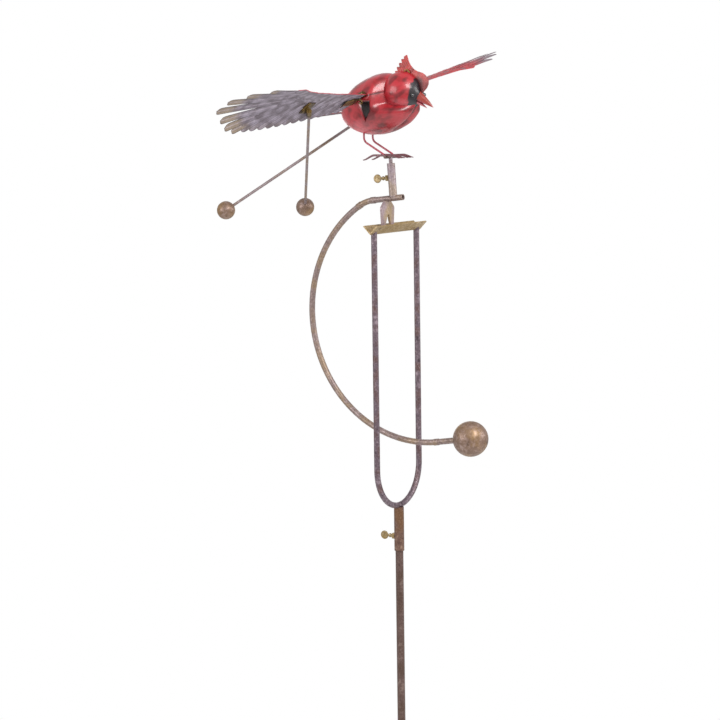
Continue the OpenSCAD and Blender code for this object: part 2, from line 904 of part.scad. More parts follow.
// Riveted base with a socket for the rod
module rod_bracket(side) {
    at = rod_at(side);
    from = rod_start(side) - 4.5 * rod_dir(side);
    color(bronze) difference() {
        union() {
            on_wing(side) intersection() {
                translate([at[0] - 14, at[1] - 12, -20]) cube([20, 24, 40]);
                rolled(-face - base_t, -face);
            }
            on_wing(side) translate([at[0] - 7, at[1] + 3, -socket_drop])
                cylinder(d = socket_d - 0.6, h = socket_drop - face - 0.6);
            rod(from, rod_start(side) + 11 * rod_dir(side), socket_d);
        }
        wing_rod(side);
        on_wing(side) rolled(-face, 30);
        on_wing(side) rivet_bars(rod_rivets(side), rivet_d);
    }
}

module right_rod_bracket() { rod_bracket(-1); }
module left_rod_bracket() { rod_bracket(1); }

// One row of rivets that holds a plate between two heights to the sheet
module rivet_row(points, below, above) {
    intersection() {
        rivet_bars(points, rivet_d);
        rolled(below - rivet_head_t, above + rivet_head_t);
    }
    intersection() {
        rivet_bars(points, rivet_head_d);
        union() {
            rolled(below - rivet_head_t, below);
            rolled(above, above + rivet_head_t);
        }
    }
}

module wing_rivets(side) {
    strap = strap_range(side);
    color(golden) on_wing(side) {
        rivet_row(knuckle_rivets, min(strap[0], -face), max(strap[1], face));
        rivet_row(rod_rivets(side), -face - base_t, face);
    }
}

module right_wing_rivets() { wing_rivets(-1); }
module left_wing_rivets() { wing_rivets(1); }

// ---------- nodes ----------

ground_spike();
step_plate();
lower_stake();
stake_coupler();
upper_stake();
frame_sleeve();
sleeve_nut();
sleeve_thumbscrew();
u_frame();
trough();
pivot_plate();
rocker_arm();
counter_ball();
bird_post();
post_nut();
post_thumbscrew();
bird_stem();
perch_bar();
right_foot();
left_foot();
right_leg();
left_leg();
body_right_shell();
body_left_shell();
head_right_shell();
head_left_shell();
upper_beak();
lower_beak();
crest();
right_eye();
left_eye();
tail();
right_hinge_bracket();
left_hinge_bracket();
right_hinge_pin();
left_hinge_pin();
right_wing();
left_wing();
right_wing_knuckle();
left_wing_knuckle();
right_rod_bracket();
left_rod_bracket();
right_wing_rivets();
left_wing_rivets();
right_wing_rod();
left_wing_rod();
right_wing_ball();
left_wing_ball();
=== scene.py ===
"""Looks of a crested-bird balancer that stands on a garden stake.

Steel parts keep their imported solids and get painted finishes. The bird, its
wings, crest, beak, tail and feet are surfaces computed here as whole arrays.
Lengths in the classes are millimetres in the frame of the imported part: +Z up,
bird facing -Y, its right wing towards -X.
"""

from __future__ import annotations

import logging
import math
from dataclasses import dataclass
from enum import Enum
from typing import Any

import bpy
import numpy as np
from mathutils import Matrix, Vector

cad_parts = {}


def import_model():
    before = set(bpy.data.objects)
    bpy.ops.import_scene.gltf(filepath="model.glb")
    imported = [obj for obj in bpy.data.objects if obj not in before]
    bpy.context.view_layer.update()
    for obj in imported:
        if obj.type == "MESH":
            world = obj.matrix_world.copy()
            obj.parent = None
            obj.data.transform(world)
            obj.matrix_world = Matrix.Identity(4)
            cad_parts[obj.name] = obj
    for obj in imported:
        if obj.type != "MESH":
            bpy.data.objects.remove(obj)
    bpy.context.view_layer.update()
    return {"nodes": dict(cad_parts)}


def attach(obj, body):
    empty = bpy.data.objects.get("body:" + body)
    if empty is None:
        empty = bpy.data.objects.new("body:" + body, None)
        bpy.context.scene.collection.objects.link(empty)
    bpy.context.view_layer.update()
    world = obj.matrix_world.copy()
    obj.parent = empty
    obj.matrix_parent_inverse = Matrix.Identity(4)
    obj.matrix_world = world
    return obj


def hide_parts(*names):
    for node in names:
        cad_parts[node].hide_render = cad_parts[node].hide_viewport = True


LOG = logging.getLogger("whirligig")
MM = 0.001
METRE = 1000.0  # in millimetres: a noise whose cells measure d has the scale METRE / d
Array = np.ndarray


# ---------------------------------------------------------------- numbers


def linear(hex_colour: str) -> tuple[float, float, float, float]:
    """Turns an sRGB hex colour into linear RGBA.

    Args:
        hex_colour: six hex digits after a hash.

    Returns:
        Linear red, green, blue and an alpha of 1.
    """
    values = [int(hex_colour[i : i + 2], 16) / 255.0 for i in (1, 3, 5)]
    bent = [v / 12.92 if v <= 0.04045 else ((v + 0.055) / 1.055) ** 2.4 for v in values]
    return bent[0], bent[1], bent[2], 1.0


def blend(a: Array, b: Array, share: Array) -> Array:
    """Mixes two colours or arrays: a where share is 0 and b where it is 1."""
    share = np.asarray(share, float)[..., None]
    return np.asarray(a, float) * (1 - share) + np.asarray(b, float) * share


def rgb(hex_colour: str) -> Array:
    """Linear colour of a hex value, as an array of three."""
    return np.array(linear(hex_colour)[:3])


def smooth(low: float, high: float, x: Array) -> Array:
    """Smooth step: 0 below low, 1 above high, and 3t^2 - 2t^3 between."""
    t = np.clip((np.asarray(x, float) - low) / (high - low), 0, 1)
    return t * t * (3 - 2 * t)


def ripple(p: Array, size: float, seed: float) -> Array:
    """Soft unevenness of beaten sheet: the mean of six plane waves.

    Args:
        p: points in millimetres, last axis of three.
        size: typical distance between two bumps, in millimetres.
        seed: shifts the phases.

    Returns:
        A value between -1 and 1 at each point.
    """
    k = np.arange(6)
    angle = 2.4 * k + seed
    lift = np.cos(1.7 * k + seed)
    waves = np.stack([np.cos(angle), np.sin(angle), lift], -1) * (2 * np.pi / size)
    waves *= (0.7 + 0.13 * k)[:, None]
    return np.sin(p @ waves.T + 3.1 * k + seed).mean(-1)


# ---------------------------------------------------------------- meshes


@dataclass
class Skin:
    """Vertices, faces and painted colour of one surface, in millimetres."""

    points: Array
    faces: list[Array]
    paint: Array

    def joined(self, *others: "Skin") -> "Skin":
        """This skin and the others as one."""
        points, faces, paint, base = [], [], [], 0
        for skin in (self, *others):
            points.append(skin.points)
            paint.append(skin.paint)
            faces += [f + base for f in skin.faces]
            base += len(skin.points)
        return Skin(np.vstack(points), faces, np.vstack(paint))


def cell_faces(rows: int, cols: int, wrap: bool = False) -> Array:
    """Quads of a grid of points.

    Args:
        rows: points along the first parameter.
        cols: points along the second.
        wrap: whether the second parameter closes on itself.

    Returns:
        An array of four vertex numbers for each cell.
    """
    last = cols if wrap else cols - 1
    i, j = np.meshgrid(np.arange(rows - 1), np.arange(last), indexing="ij")
    k = (j + 1) % cols
    quads = [i * cols + j, (i + 1) * cols + j, (i + 1) * cols + k, i * cols + k]
    return np.stack(quads, -1).reshape(-1, 4)


def grid_normals(p: Array) -> Array:
    """Unit normals of a grid of points: the cross product of its two slopes."""
    n = np.cross(np.gradient(p, axis=0), np.gradient(p, axis=1))
    return n / np.maximum(np.linalg.norm(n, axis=-1, keepdims=True), 1e-12)


def plate(p: Array, thickness: Array | float, top: Array, under: Array) -> Skin:
    """Closed sheet around a grid of points.

    The upper face lies half the thickness along the grid's normal, the lower
    face half the thickness against it, and four rims close the edge.

    Args:
        p: rows by columns by three grid of the sheet's middle.
        thickness: one number or one for each grid point.
        top: colours of the face on the normal's side.
        under: colours of the other face.

    Returns:
        The closed skin.
    """
    rows, cols = p.shape[:2]
    half = grid_normals(p) * (np.ones((rows, cols)) * thickness)[..., None] / 2
    a, b = (p + half).reshape(-1, 3), (p - half).reshape(-1, 3)
    n = rows * cols
    quads = cell_faces(rows, cols)
    index = np.arange(n).reshape(rows, cols)
    rims = []
    for line, flip in ((index[0], 0), (index[-1], 1), (index[:, 0], 1), (index[:, -1], 0)):
        rim = np.stack([line[:-1], line[1:], line[1:] + n, line[:-1] + n], -1)
        rims.append(rim[:, ::-1] if flip else rim)
    colours = [np.broadcast_to(c, (rows, cols, 3)).reshape(-1, 3) for c in (top, under)]
    return Skin(np.vstack([a, b]), [quads, quads[:, ::-1] + n, *rims], np.vstack(colours))


def shell(p: Array, centre: Array, thickness: float, outside: Array, inside: Array) -> Skin:
    """Closed sheet around a domed grid, with its outside away from a centre.

    Args:
        p: rows by columns by three grid of the sheet's middle.
        centre: a point inside the dome.
        thickness: the sheet's thickness.
        outside: colours of the face away from the centre.
        inside: colours of the face towards it.

    Returns:
        The closed skin.
    """
    outwards = float((grid_normals(p) * (p - centre)).sum()) > 0
    return plate(p, thickness, *((outside, inside) if outwards else (inside, outside)))


def closed_rings(rings: Array, first: Array, last: Array, paint: Array) -> Skin:
    """Closed surface of rings that run from one end point to another.

    Args:
        rings: rows by columns by three, each row one closed ring.
        first: point that closes the first ring.
        last: point that closes the last ring.
        paint: colours of the rings, rows by columns by three, or one colour.

    Returns:
        The closed skin.
    """
    rows, cols = rings.shape[:2]
    around = np.arange(cols)
    after = (around + 1) % cols
    base = (rows - 1) * cols
    start = np.stack([np.full(cols, rows * cols), around, after], -1)
    end = np.stack([np.full(cols, rows * cols + 1), base + after, base + around], -1)
    colours = np.broadcast_to(paint, (rows, cols, 3))
    ends = np.vstack([colours[0].mean(0), colours[-1].mean(0)])
    points = np.vstack([rings.reshape(-1, 3), first, last])
    return Skin(
        points, [cell_faces(rows, cols, True), start, end], np.vstack([colours.reshape(-1, 3), ends])
    )


def wire(path: Array, radius: Array | float, side: Array, paint: Array, segments: int = 20) -> Skin:
    """Round bar along a path that lies close to one plane.

    Each ring stands square to the path's slope: a point at angle t is the path
    point plus radius times (cos t times the side direction plus sin t times the
    cross product of slope and side).

    Args:
        path: points in order.
        radius: one number, or one for each point.
        side: direction square to the path's plane.
        paint: one colour, or one for each point.
        segments: points in a ring.

    Returns:
        The closed skin.
    """
    slope = np.gradient(path, axis=0)
    slope /= np.linalg.norm(slope, axis=1, keepdims=True)
    a = side - (slope @ side)[:, None] * slope
    a /= np.linalg.norm(a, axis=1, keepdims=True)
    b = np.cross(slope, a)
    t = np.linspace(0, 2 * np.pi, segments, endpoint=False)
    spokes = np.cos(t)[None, :, None] * a[:, None] + np.sin(t)[None, :, None] * b[:, None]
    size = np.broadcast_to(radius, len(path))[:, None, None]
    colours = np.broadcast_to(paint, (len(path), 3))[:, None, :]
    rings = path[:, None] + size * spokes
    return closed_rings(rings, path[0], path[-1], np.broadcast_to(colours, rings.shape))


def turned(
    along: Array, radius: Array, origin: Array, axis: Array, paint: Array, segments: int = 40
) -> Skin:
    """Solid of revolution.

    Args:
        along: places on the axis, from the origin.
        radius: radius at each place.
        origin: where the axis starts.
        axis: its direction.
        paint: one colour, or one for each place.
        segments: points in a ring.

    Returns:
        The closed skin.
    """
    axis = np.asarray(axis, float) / np.linalg.norm(axis)
    helper = np.array([1.0, 0, 0]) if abs(axis[0]) < 0.9 else np.array([0, 1.0, 0])
    return wire(origin + np.outer(along, axis), radius, np.cross(axis, helper), paint, segments)


def rounded(points: Array, radius: float, steps: int = 8) -> Array:
    """Path through straight runs with each corner replaced by a smooth bend.

    Each corner becomes a quadratic curve between the two points that lie one
    radius before and after it.

    Args:
        points: corners of the path.
        radius: how far from the corner the bend starts.
        steps: points in a bend.

    Returns:
        The smoothed path.
    """
    t = np.linspace(0, 1, steps)[:, None]
    runs = [points[:1]]
    for before, corner, after in zip(points[:-2], points[1:-1], points[2:], strict=True):
        a = corner + (before - corner) * radius / np.linalg.norm(before - corner)
        b = corner + (after - corner) * radius / np.linalg.norm(after - corner)
        runs.append((1 - t) ** 2 * a + 2 * t * (1 - t) * corner + t**2 * b)
    runs.append(points[-1:])
    return np.vstack(runs)


def signed_volume(points: Array, faces: list[Array]) -> float:
    """Volume inside the faces by the divergence theorem: negative if inside out."""
    total = 0.0
    for f in faces:
        for i in range(1, f.shape[1] - 1):
            a, b, c = points[f[:, 0]], points[f[:, i]], points[f[:, i + 1]]
            total += float(np.einsum("ij,ij->i", a, np.cross(b, c)).sum()) / 6
    return total


def mesh_object(name: str, skins: list[Skin], material: bpy.types.Material) -> bpy.types.Object:
    """Puts skins into one mesh object at the origin, faces outwards.

    Args:
        name: the object's name.
        skins: closed skins, each turned the right way round if it isn't.
        material: its finish.

    Returns:
        The object, in metres, with its paint in the attribute "paint".
    """
    fixed = []
    for skin in skins:
        centre = skin.points.mean(0)
        inside_out = signed_volume(skin.points - centre, skin.faces) < 0
        faces = [f[:, ::-1] for f in skin.faces] if inside_out else skin.faces
        fixed.append(Skin(skin.points, faces, skin.paint))
    whole = fixed[0].joined(*fixed[1:]) if len(fixed) > 1 else fixed[0]
    mesh = bpy.data.meshes.new(name)
    loops = np.concatenate([f.ravel() for f in whole.faces])
    sizes = np.concatenate([np.full(len(f), f.shape[1]) for f in whole.faces])
    mesh.vertices.add(len(whole.points))
    mesh.vertices.foreach_set("co", (whole.points * MM).astype(np.float32).ravel())
    mesh.loops.add(len(loops))
    mesh.loops.foreach_set("vertex_index", loops.astype(np.int32))
    mesh.polygons.add(len(sizes))
    starts = np.concatenate([[0], np.cumsum(sizes)[:-1]])
    mesh.polygons.foreach_set("loop_start", starts.astype(np.int32))
    mesh.update(calc_edges=True)
    mesh.validate()
    mesh.polygons.foreach_set("use_smooth", np.ones(len(mesh.polygons), bool))
    rgba = np.hstack([np.clip(whole.paint, 0, 1), np.ones((len(whole.paint), 1))])
    layer = mesh.attributes.new("paint", "FLOAT_COLOR", "POINT")
    layer.data.foreach_set("color", rgba.astype(np.float32).ravel())
    mesh.set_sharp_from_angle(angle=math.radians(50))
    mesh.materials.append(material)
    piece = bpy.data.objects.new(name, mesh)
    bpy.context.scene.collection.objects.link(piece)
    return piece


def install(piece: bpy.types.Object, body: str, slot: str, *nodes: str) -> None:
    """Rides a piece on its body and hides the solids it stands for."""
    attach(piece, body)
    if nodes:
        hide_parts(*nodes)
    LOG.info("%s rides on %s, %d faces", piece.name, body, len(piece.data.polygons))


# ---------------------------------------------------------------- finishes


def add_node(
    tree: bpy.types.NodeTree,
    kind: str,
    links: dict[str | int, Any] | None = None,
    stops: dict[float, str] | None = None,
    **settings: Any,
) -> bpy.types.Node:
    """Adds one node with its settings and links.

    Args:
        tree: the material's node tree.
        kind: Blender's name of the node type.
        links: input name or number to a value or to another node's output.
        stops: for a node with a colour ramp, place to hex colour.
        settings: the node's own properties.

    Returns:
        The node.
    """
    node = tree.nodes.new(kind)
    for key, value in settings.items():
        setattr(node, key, value)
    for key, value in (links or {}).items():
        if isinstance(value, bpy.types.NodeSocket):
            tree.links.new(value, node.inputs[key])
        else:
            node.inputs[key].default_value = value
    if stops:
        elements = node.color_ramp.elements
        while len(elements) < len(stops):
            elements.new(0.5)
        for element, (place, colour) in zip(elements, sorted(stops.items()), strict=True):
            element.position = place
            element.color = linear(colour)
    return node


def new_material(name: str) -> tuple[bpy.types.Material, bpy.types.NodeTree, bpy.types.Node]:
    """An empty node material with its principled shader.

    Args:
        name: what the finish is called.

    Returns:
        The material, its tree and its shader node.
    """
    material = bpy.data.materials.new(name)
    material.use_nodes = True
    tree = material.node_tree
    tree.nodes.clear()
    shader = add_node(tree, "ShaderNodeBsdfPrincipled")
    add_node(tree, "ShaderNodeOutputMaterial", {"Surface": shader.outputs["BSDF"]})
    return material, tree, shader


@dataclass(frozen=True)
class Hammertone:
    """Brushed bronze paint over a dark coat on steel.

    To the eye: broad lighter and darker patches, some of them warmer, with small
    pale metallic flecks that stand proud and dark pits between them.
    """

    name: str
    dark: str
    main: str
    light: str
    warm: str
    patch_mm: float = 14.0
    fleck_mm: float = 3.4
    metallic: float = 0.35
    roughness: float = 0.42
    roughness_swing: float = 0.14
    bump: float = 0.35
    bump_mm: float = 0.6
    warm_patch: float = 2.3

    def material(self) -> bpy.types.Material:
        """Builds the finish.

        Patches come from a broad noise and warmer ones from a broader noise still.
        One finer noise makes both the flecks, where it is high, and the pits,
        where it is low, and it also moves the roughness and the bump.

        Returns:
            The material.
        """
        material, tree, shader = new_material(self.name)
        place = add_node(tree, "ShaderNodeTexCoord").outputs["Object"]
        broad = add_node(
            tree, "ShaderNodeTexNoise",
            {"Vector": place, "Scale": METRE / self.patch_mm, "Detail": 5.0, "Roughness": 0.65},
        ).outputs["Fac"]
        warm = add_node(
            tree, "ShaderNodeTexNoise",
            {"Vector": place, "Scale": METRE / (self.patch_mm * self.warm_patch), "Detail": 3.0},
        ).outputs["Fac"]
        grit = add_node(
            tree, "ShaderNodeTexNoise",
            {"Vector": place, "Scale": METRE / self.fleck_mm, "Detail": 2.0, "Roughness": 0.5,
             "Distortion": 0.6},
        ).outputs["Fac"]
        base = add_node(
            tree, "ShaderNodeValToRGB", {"Fac": broad},
            {0.30: self.dark, 0.44: self.main, 0.56: self.main, 0.72: self.light},
        )
        layers = (
            (warm, {0.46: "#000000", 0.62: "#ffffff"}, self.warm),
            (grit, {0.52: "#000000", 0.66: "#a0a0a0"}, self.light),
            (grit, {0.32: "#999999", 0.45: "#000000"}, self.dark),
        )
        colour = base.outputs["Color"]
        for noise, stops, over in layers:
            share = add_node(tree, "ShaderNodeValToRGB", {"Fac": noise}, stops).outputs["Color"]
            colour = add_node(
                tree, "ShaderNodeMix", {0: share, 6: colour, 7: linear(over)}, data_type="RGBA"
            ).outputs[2]
        rough = add_node(
            tree, "ShaderNodeMapRange",
            {"Value": grit, "To Min": self.roughness + self.roughness_swing,
             "To Max": self.roughness - self.roughness_swing},
        )
        bump = add_node(
            tree, "ShaderNodeBump",
            {"Height": grit, "Strength": self.bump, "Distance": self.bump_mm * MM},
        )
        for key, value in {
            "Base Color": colour, "Roughness": rough.outputs["Result"],
            "Normal": bump.outputs["Normal"],
        }.items():
            tree.links.new(value, shader.inputs[key])
        shader.inputs["Metallic"].default_value = self.metallic
        return material


@dataclass(frozen=True)
class BrushedPaint:
    """Hand-brushed enamel over sheet steel.

    To the eye: darker brush marks over a brighter coat, a thin lighter wash that
    follows them, and a clear lacquer that gives a soft shine.
    """

    name: str
    mark: str
    wash: str
    stroke_mm: float = 9.0
    stretch: tuple[float, float, float] = (1.0, 1.0, 1.0)
    amount: float = 0.75
    roughness: float = 0.34
    coat: float = 0.35
    bump: float = 0.25
    bump_mm: float = 0.8
    coat_roughness: float = 0.12

    def material(self) -> bpy.types.Material:
        """Builds the finish.

        The painted colour comes from the attribute "paint". A stretched noise lays
        darker marks over it, and one three times finer lays the lighter wash and
        moves the roughness.

        Returns:
            The material.
        """
        material, tree, shader = new_material(self.name)
        place = add_node(tree, "ShaderNodeTexCoord").outputs["Object"]
        scaled = add_node(
            tree, "ShaderNodeMapping", {"Vector": place, "Scale": self.stretch}
        ).outputs["Vector"]
        broad = add_node(
            tree, "ShaderNodeTexNoise",
            {"Vector": scaled, "Scale": METRE / self.stroke_mm, "Detail": 6.0, "Roughness": 0.62,
             "Distortion": 0.8},
        ).outputs["Fac"]
        fine = add_node(
            tree, "ShaderNodeTexNoise",
            {"Vector": scaled, "Scale": 3 * METRE / self.stroke_mm, "Detail": 4.0, "Roughness": 0.7},
        ).outputs["Fac"]
        coat = add_node(tree, "ShaderNodeAttribute", attribute_name="paint").outputs["Color"]
        dark_share = add_node(
            tree, "ShaderNodeMapRange",
            {"Value": broad, "From Min": 0.46, "From Max": 0.70, "To Max": self.amount},
        ).outputs["Result"]
        light_share = add_node(
            tree, "ShaderNodeMapRange",
            {"Value": fine, "From Min": 0.55, "From Max": 0.75, "To Max": self.amount * 0.6},
        ).outputs["Result"]
        dark = add_node(
            tree, "ShaderNodeMix",
            {0: dark_share, 6: coat, 7: linear(self.mark)}, data_type="RGBA", blend_type="MULTIPLY",
        )
        light = add_node(
            tree, "ShaderNodeMix",
            {0: light_share, 6: dark.outputs[2], 7: linear(self.wash)},
            data_type="RGBA", blend_type="SCREEN",
        )
        rough = add_node(
            tree, "ShaderNodeMapRange",
            {"Value": fine, "To Min": self.roughness - 0.1, "To Max": self.roughness + 0.12},
        )
        bump = add_node(
            tree, "ShaderNodeBump",
            {"Height": broad, "Strength": self.bump, "Distance": self.bump_mm * MM},
        )
        for key, value in {
            "Base Color": light.outputs[2], "Roughness": rough.outputs["Result"],
            "Normal": bump.outputs["Normal"],
        }.items():
            tree.links.new(value, shader.inputs[key])
        shader.inputs["Coat Weight"].default_value = self.coat
        shader.inputs["Coat Roughness"].default_value = self.coat_roughness
        return material


class Finish(Enum):
    """Every finish on the object, by the part of it that wears it."""

    # Hammertones, from nearly black on the ground stake to pale and golden higher up.
    STAKE = Hammertone("bronze_hammertone_stake", "#3a2824", "#5b4640", "#7d6a62", "#4f3a30", 12, 3.0)
    FRAME = Hammertone("bronze_hammertone_frame", "#33252b", "#5f5058", "#a08f97", "#5c4544", 9, 3.2)
    SLEEVE = Hammertone("brown_hammertone_sleeve", "#3a2018", "#64493e", "#947866", "#6a4a30", 9, 3.4)
    GOLDEN = Hammertone("golden_bronze_paint", "#6b5a35", "#9c8560", "#c3ae8c", "#8a7040", 12, 3.0, 0.45)
    PLATE = Hammertone("pale_bronze_plate", "#6f5d62", "#978488", "#b3a1a2", "#a08a6c", 14, 3.0, 0.4)
    SCREW = Hammertone("brass_bronze_screw", "#5e4d2a", "#8c7651", "#b5a88c", "#80662f", 8, 2.4, 0.55)
    ARM = Hammertone("grey_bronze_arm", "#54423f", "#7c6a66", "#ac9a98", "#85705c", 12, 3.0)
    BALL = Hammertone("mottled_bronze_ball", "#4c3728", "#775f50", "#a58f8a", "#876a48", 15, 4.2)
    POST = Hammertone("pale_bronze_post", "#66565b", "#938288", "#b5a9ad", "#8f7d70", 12, 3.0)
    ROD = Hammertone("grey_bronze_rod", "#574848", "#7e6f70", "#a3959a", "#7f6a58", 12, 2.6)
    # Dark brass with the most metal in it, worn by the hinges and their brackets.
    HINGE = Hammertone("dark_brass_hinge", "#1d120a", "#4c3a22", "#9a824c", "#6e5628", 7, 2.4, 0.6)
    # Enamels: long strokes on the body, a matt wing, and lacquered beak and legs.
    BIRD = BrushedPaint("red_brushed_enamel", "#b03038", "#32151a", 13.0, (1, 0.55, 1), 0.8, 0.36, 0.28)
    CREST = BrushedPaint("red_crest_enamel", "#a04038", "#2c1010", 9.0, (1, 1, 1), 0.6, 0.42, 0.12)
    WING = BrushedPaint("brushed_wing_enamel", "#8e7d84", "#2c262c", 10.0, (1, 1, 1), 0.5, 0.5, 0.05)
    LEG = BrushedPaint("red_leg_enamel", "#9a4a52", "#6a3a44", 6.0, (1, 1, 1), 0.7, 0.38, 0.3)
    BEAK = BrushedPaint("brown_red_beak_enamel", "#b06050", "#5a2a2a", 6.0, (1, 1, 1), 0.5, 0.3, 0.4)
    # Glass: no brush marks at all and one sharp highlight.
    EYE = BrushedPaint("black_glass_bead", "#ffffff", "#000000", 6.0, (1, 1, 1), 0.0, 0.08, 1.0, 0.0)


class Palette:
    """Makes each finish once."""

    def __init__(self) -> None:
        """Starts with no finish made."""
        self._made: dict[Finish, bpy.types.Material] = {}

    def get(self, finish: Finish) -> bpy.types.Material:
        """The material of a finish, made on first use."""
        if finish not in self._made:
            self._made[finish] = finish.value.material()
        return self._made[finish]


# ---------------------------------------------------------------- layout


@dataclass(frozen=True)
class Layout:
    """Where the bird and its hinges stand, in millimetres."""

    valley: float = 1210.0
    middle: float = -23.8
    head: tuple[float, float] = (-31.9, 218.4)
    body: tuple[float, float] = (9.0, 199.0)
    hinge_out: float = 49.0
    hinge: tuple[float, float] = (23.8, 211.6)
    hinge_tilt: float = 24.0

    def at(self, x: Array | float, y: Array | float, z: Array | float) -> Array:
        """Points given from the bird's middle plane and the valley's height."""
        x, y, z = np.broadcast_arrays(
            np.asarray(x, float) + self.middle, np.asarray(y, float), np.asarray(z, float) + self.valley
        )
        return np.stack([x, y, z], -1)


class Side(Enum):
    """One side of the bird: the sign of its X."""

    RIGHT = -1
    LEFT = 1

    @property
    def word(self) -> str:
        """The side's name as the nodes spell it."""
        return self.name.lower()


def turn(p: Array, axis: int, degrees: float) -> Array:
    """Turns points about one coordinate axis through the origin, right-handed."""
    a = math.radians(degrees)
    i, j = [(1, 2), (2, 0), (0, 1)][axis]
    out = np.array(p, float)
    out[..., i] = p[..., i] * math.cos(a) - p[..., j] * math.sin(a)
    out[..., j] = p[..., i] * math.sin(a) + p[..., j] * math.cos(a)
    return out


# ---------------------------------------------------------------- bird


@dataclass
class BirdBody:
    """Two domed halves of sheet, the head's two halves, and their paint."""

    layout: Layout
    length: float = 142.0
    girth: float = 94.0
    tilt: float = 14.0
    head_d: float = 65.0
    sheet: float = 0.9
    red: str = "#a3202a"
    deep: str = "#74121a"
    bounce_light_pink: str = "#c9545e"
    grey: str = "#8f6a72"
    black: str = "#16121a"
    shadow: str = "#12080a"
    lining: str = "#3a1a1a"
    seam_width: float = 3.2
    cleft_width: float = 9.0
    cleft_depth: float = 7.5
    slot_depth: float = 3.5
    collar_step: float = 1.0
    neck_squeeze: float = 0.46
    mask_reach: tuple[float, float] = (23.4, 21.4)
    eye_level: float = -4.0

    def tilted(self, along: Array, up: Array) -> tuple[Array, Array]:
        """Y and height over the valley of places on the tilted body.

        Args:
            along: distance from the middle towards the head.
            up: distance from the axis upwards.

        Returns:
            Both coordinates.
        """
        tilt = math.radians(self.tilt)
        y = self.layout.body[0] - along * math.cos(tilt) + up * math.sin(tilt)
        z = self.layout.body[1] + along * math.sin(tilt) + up * math.cos(tilt)
        return y, z

    def body_half(self, side: Side) -> Skin:
        """One half of the body.

        A point at parameter t along and angle q around lies at half length times
        cos t on the axis and at radius half girth times sin t, drawn in towards
        the tail. The sheet dips at the seam and in the breast's cleft, stands
        proud as a collar over the shoulder, sinks in the slot behind it, and
        narrows to the neck.

        Args:
            side: which half.

        Returns:
            The closed sheet.
        """
        t = np.radians(np.linspace(2.0, 178.0, 190))[:, None]
        q = np.radians(np.linspace(0.4, 179.6, 120))[None, :]
        taper = (1 - 0.08 * (1 - np.cos(t))) / 0.923
        radius = self.girth / 2 * np.sin(t) * taper
        along = self.length / 2 * np.cos(t) + 0 * q
        lateral = radius * np.sin(q)
        up = radius * np.cos(q)
        y, z = self.tilted(along, up)
        seam = np.exp(-((lateral / self.seam_width) ** 2))
        belly = smooth(0.15, -0.35, np.cos(q)) * smooth(-10, 25, along)
        line = 212.5 - 0.30 * (y - 16)
        front = smooth(22, 12, y) * smooth(-20, -8, y)
        collar = smooth(-1.2, 1.2, z - line) * front
        sides = [y - 22 + 0.25 * (205 - z), 2 - y, z - 206, 184 - z - (y - 6) * 1.3]
        slot = smooth(1.2, -1.2, np.maximum.reduce(sides)) * smooth(20, 30, lateral)
        dent = 0.9 * ripple(np.stack([lateral, y, z], -1), 34.0, 1.0 + side.value)
        cleft = np.exp(-((lateral / self.cleft_width) ** 2)) * belly * smooth(0, 30, along)
        shrink = 0.8 + self.cleft_depth * cleft + 0.8 * seam
        shrink = shrink - self.collar_step * collar + self.slot_depth * slot - 0.7 * dent
        scale = 1 - np.clip(shrink, 0.2, 12) / np.maximum(radius, 6)
        neck = smooth(4, -20, y) * smooth(186, 203, z)
        lateral = lateral * scale * (1 - self.neck_squeeze * neck)
        up = up * scale * (1 - 0.05 * neck)
        y, z = self.tilted(along, up)
        lateral = np.maximum(lateral, 0.12)
        p = self.layout.at(side.value * lateral, y, z)
        tone = ripple(p, 26.0, 4.0)
        colour = blend(rgb(self.red), rgb(self.deep), smooth(0.0, 0.5, tone))
        # Painted light: the lower rear of the body turns pink, standing in for light thrown back from
        # the pale surroundings below and behind.
        colour = blend(colour, rgb(self.bounce_light_pink), 0.6 * smooth(190, 160, z) * smooth(-10, 30, y))
        # Painted sheen: the top of the back turns grey, standing in for the pale surroundings reflected
        # at a grazing angle.
        back = smooth(0.80, 0.98, np.cos(q) + 0 * t) * smooth(45, 5, along)
        colour = blend(colour, rgb(self.grey), 0.75 * back)
        # Painted shade in the shadow colour: inside the slot behind the shoulder, a shadow line under
        # the collar's ledge, along the breast's seam and along a crease low on the front.
        ledge_shadow = np.exp(-(((z - line + 1.6) / 1.5) ** 2)) * front * smooth(15, 25, lateral)
        crease_shade = np.exp(-(((z - 192.0) / 3.0) ** 2)) * smooth(-8, -26, y) * smooth(4, 12, lateral)
        dark = np.clip(slot + 0.85 * ledge_shadow + 0.7 * seam * belly + 0.55 * crease_shade, 0, 1)
        colour = blend(colour, rgb(self.shadow), dark)
        centre = self.layout.at(0, *self.layout.body)
        return shell(p, centre, self.sheet, colour, rgb(self.lining))

    def head_half(self, side: Side) -> Skin:
        """One half of the head.

        A ball with its poles on top and underneath, and a black mask around the
        beak that reaches the eye and the throat.

        Args:
            side: which half.

        Returns:
            The closed sheet.
        """
        t = np.radians(np.linspace(3.0, 177.0, 120))[:, None]
        q = np.radians(np.linspace(0.4, 179.6, 120))[None, :]
        r = self.head_d / 2
        lateral = r * np.sin(t) * np.sin(q)
        forward = r * np.sin(t) * np.cos(q)
        up = r * np.cos(t) + 0 * q
        seam = np.exp(-((lateral / 2.0) ** 2))
        dent = ripple(np.stack([lateral, forward, up], -1), 24.0, 2.0 + side.value)
        shrink = 1 - (0.2 + 0.9 * seam + 0.35 * dent) / r
        p = self.layout.at(
            side.value * np.maximum(lateral * shrink, 0.12),
            self.layout.head[0] - forward * shrink, self.layout.head[1] + up * shrink,
        )
        colour = blend(rgb(self.red), rgb(self.deep), smooth(0.05, 0.5, ripple(p, 19.0, 7.0)))
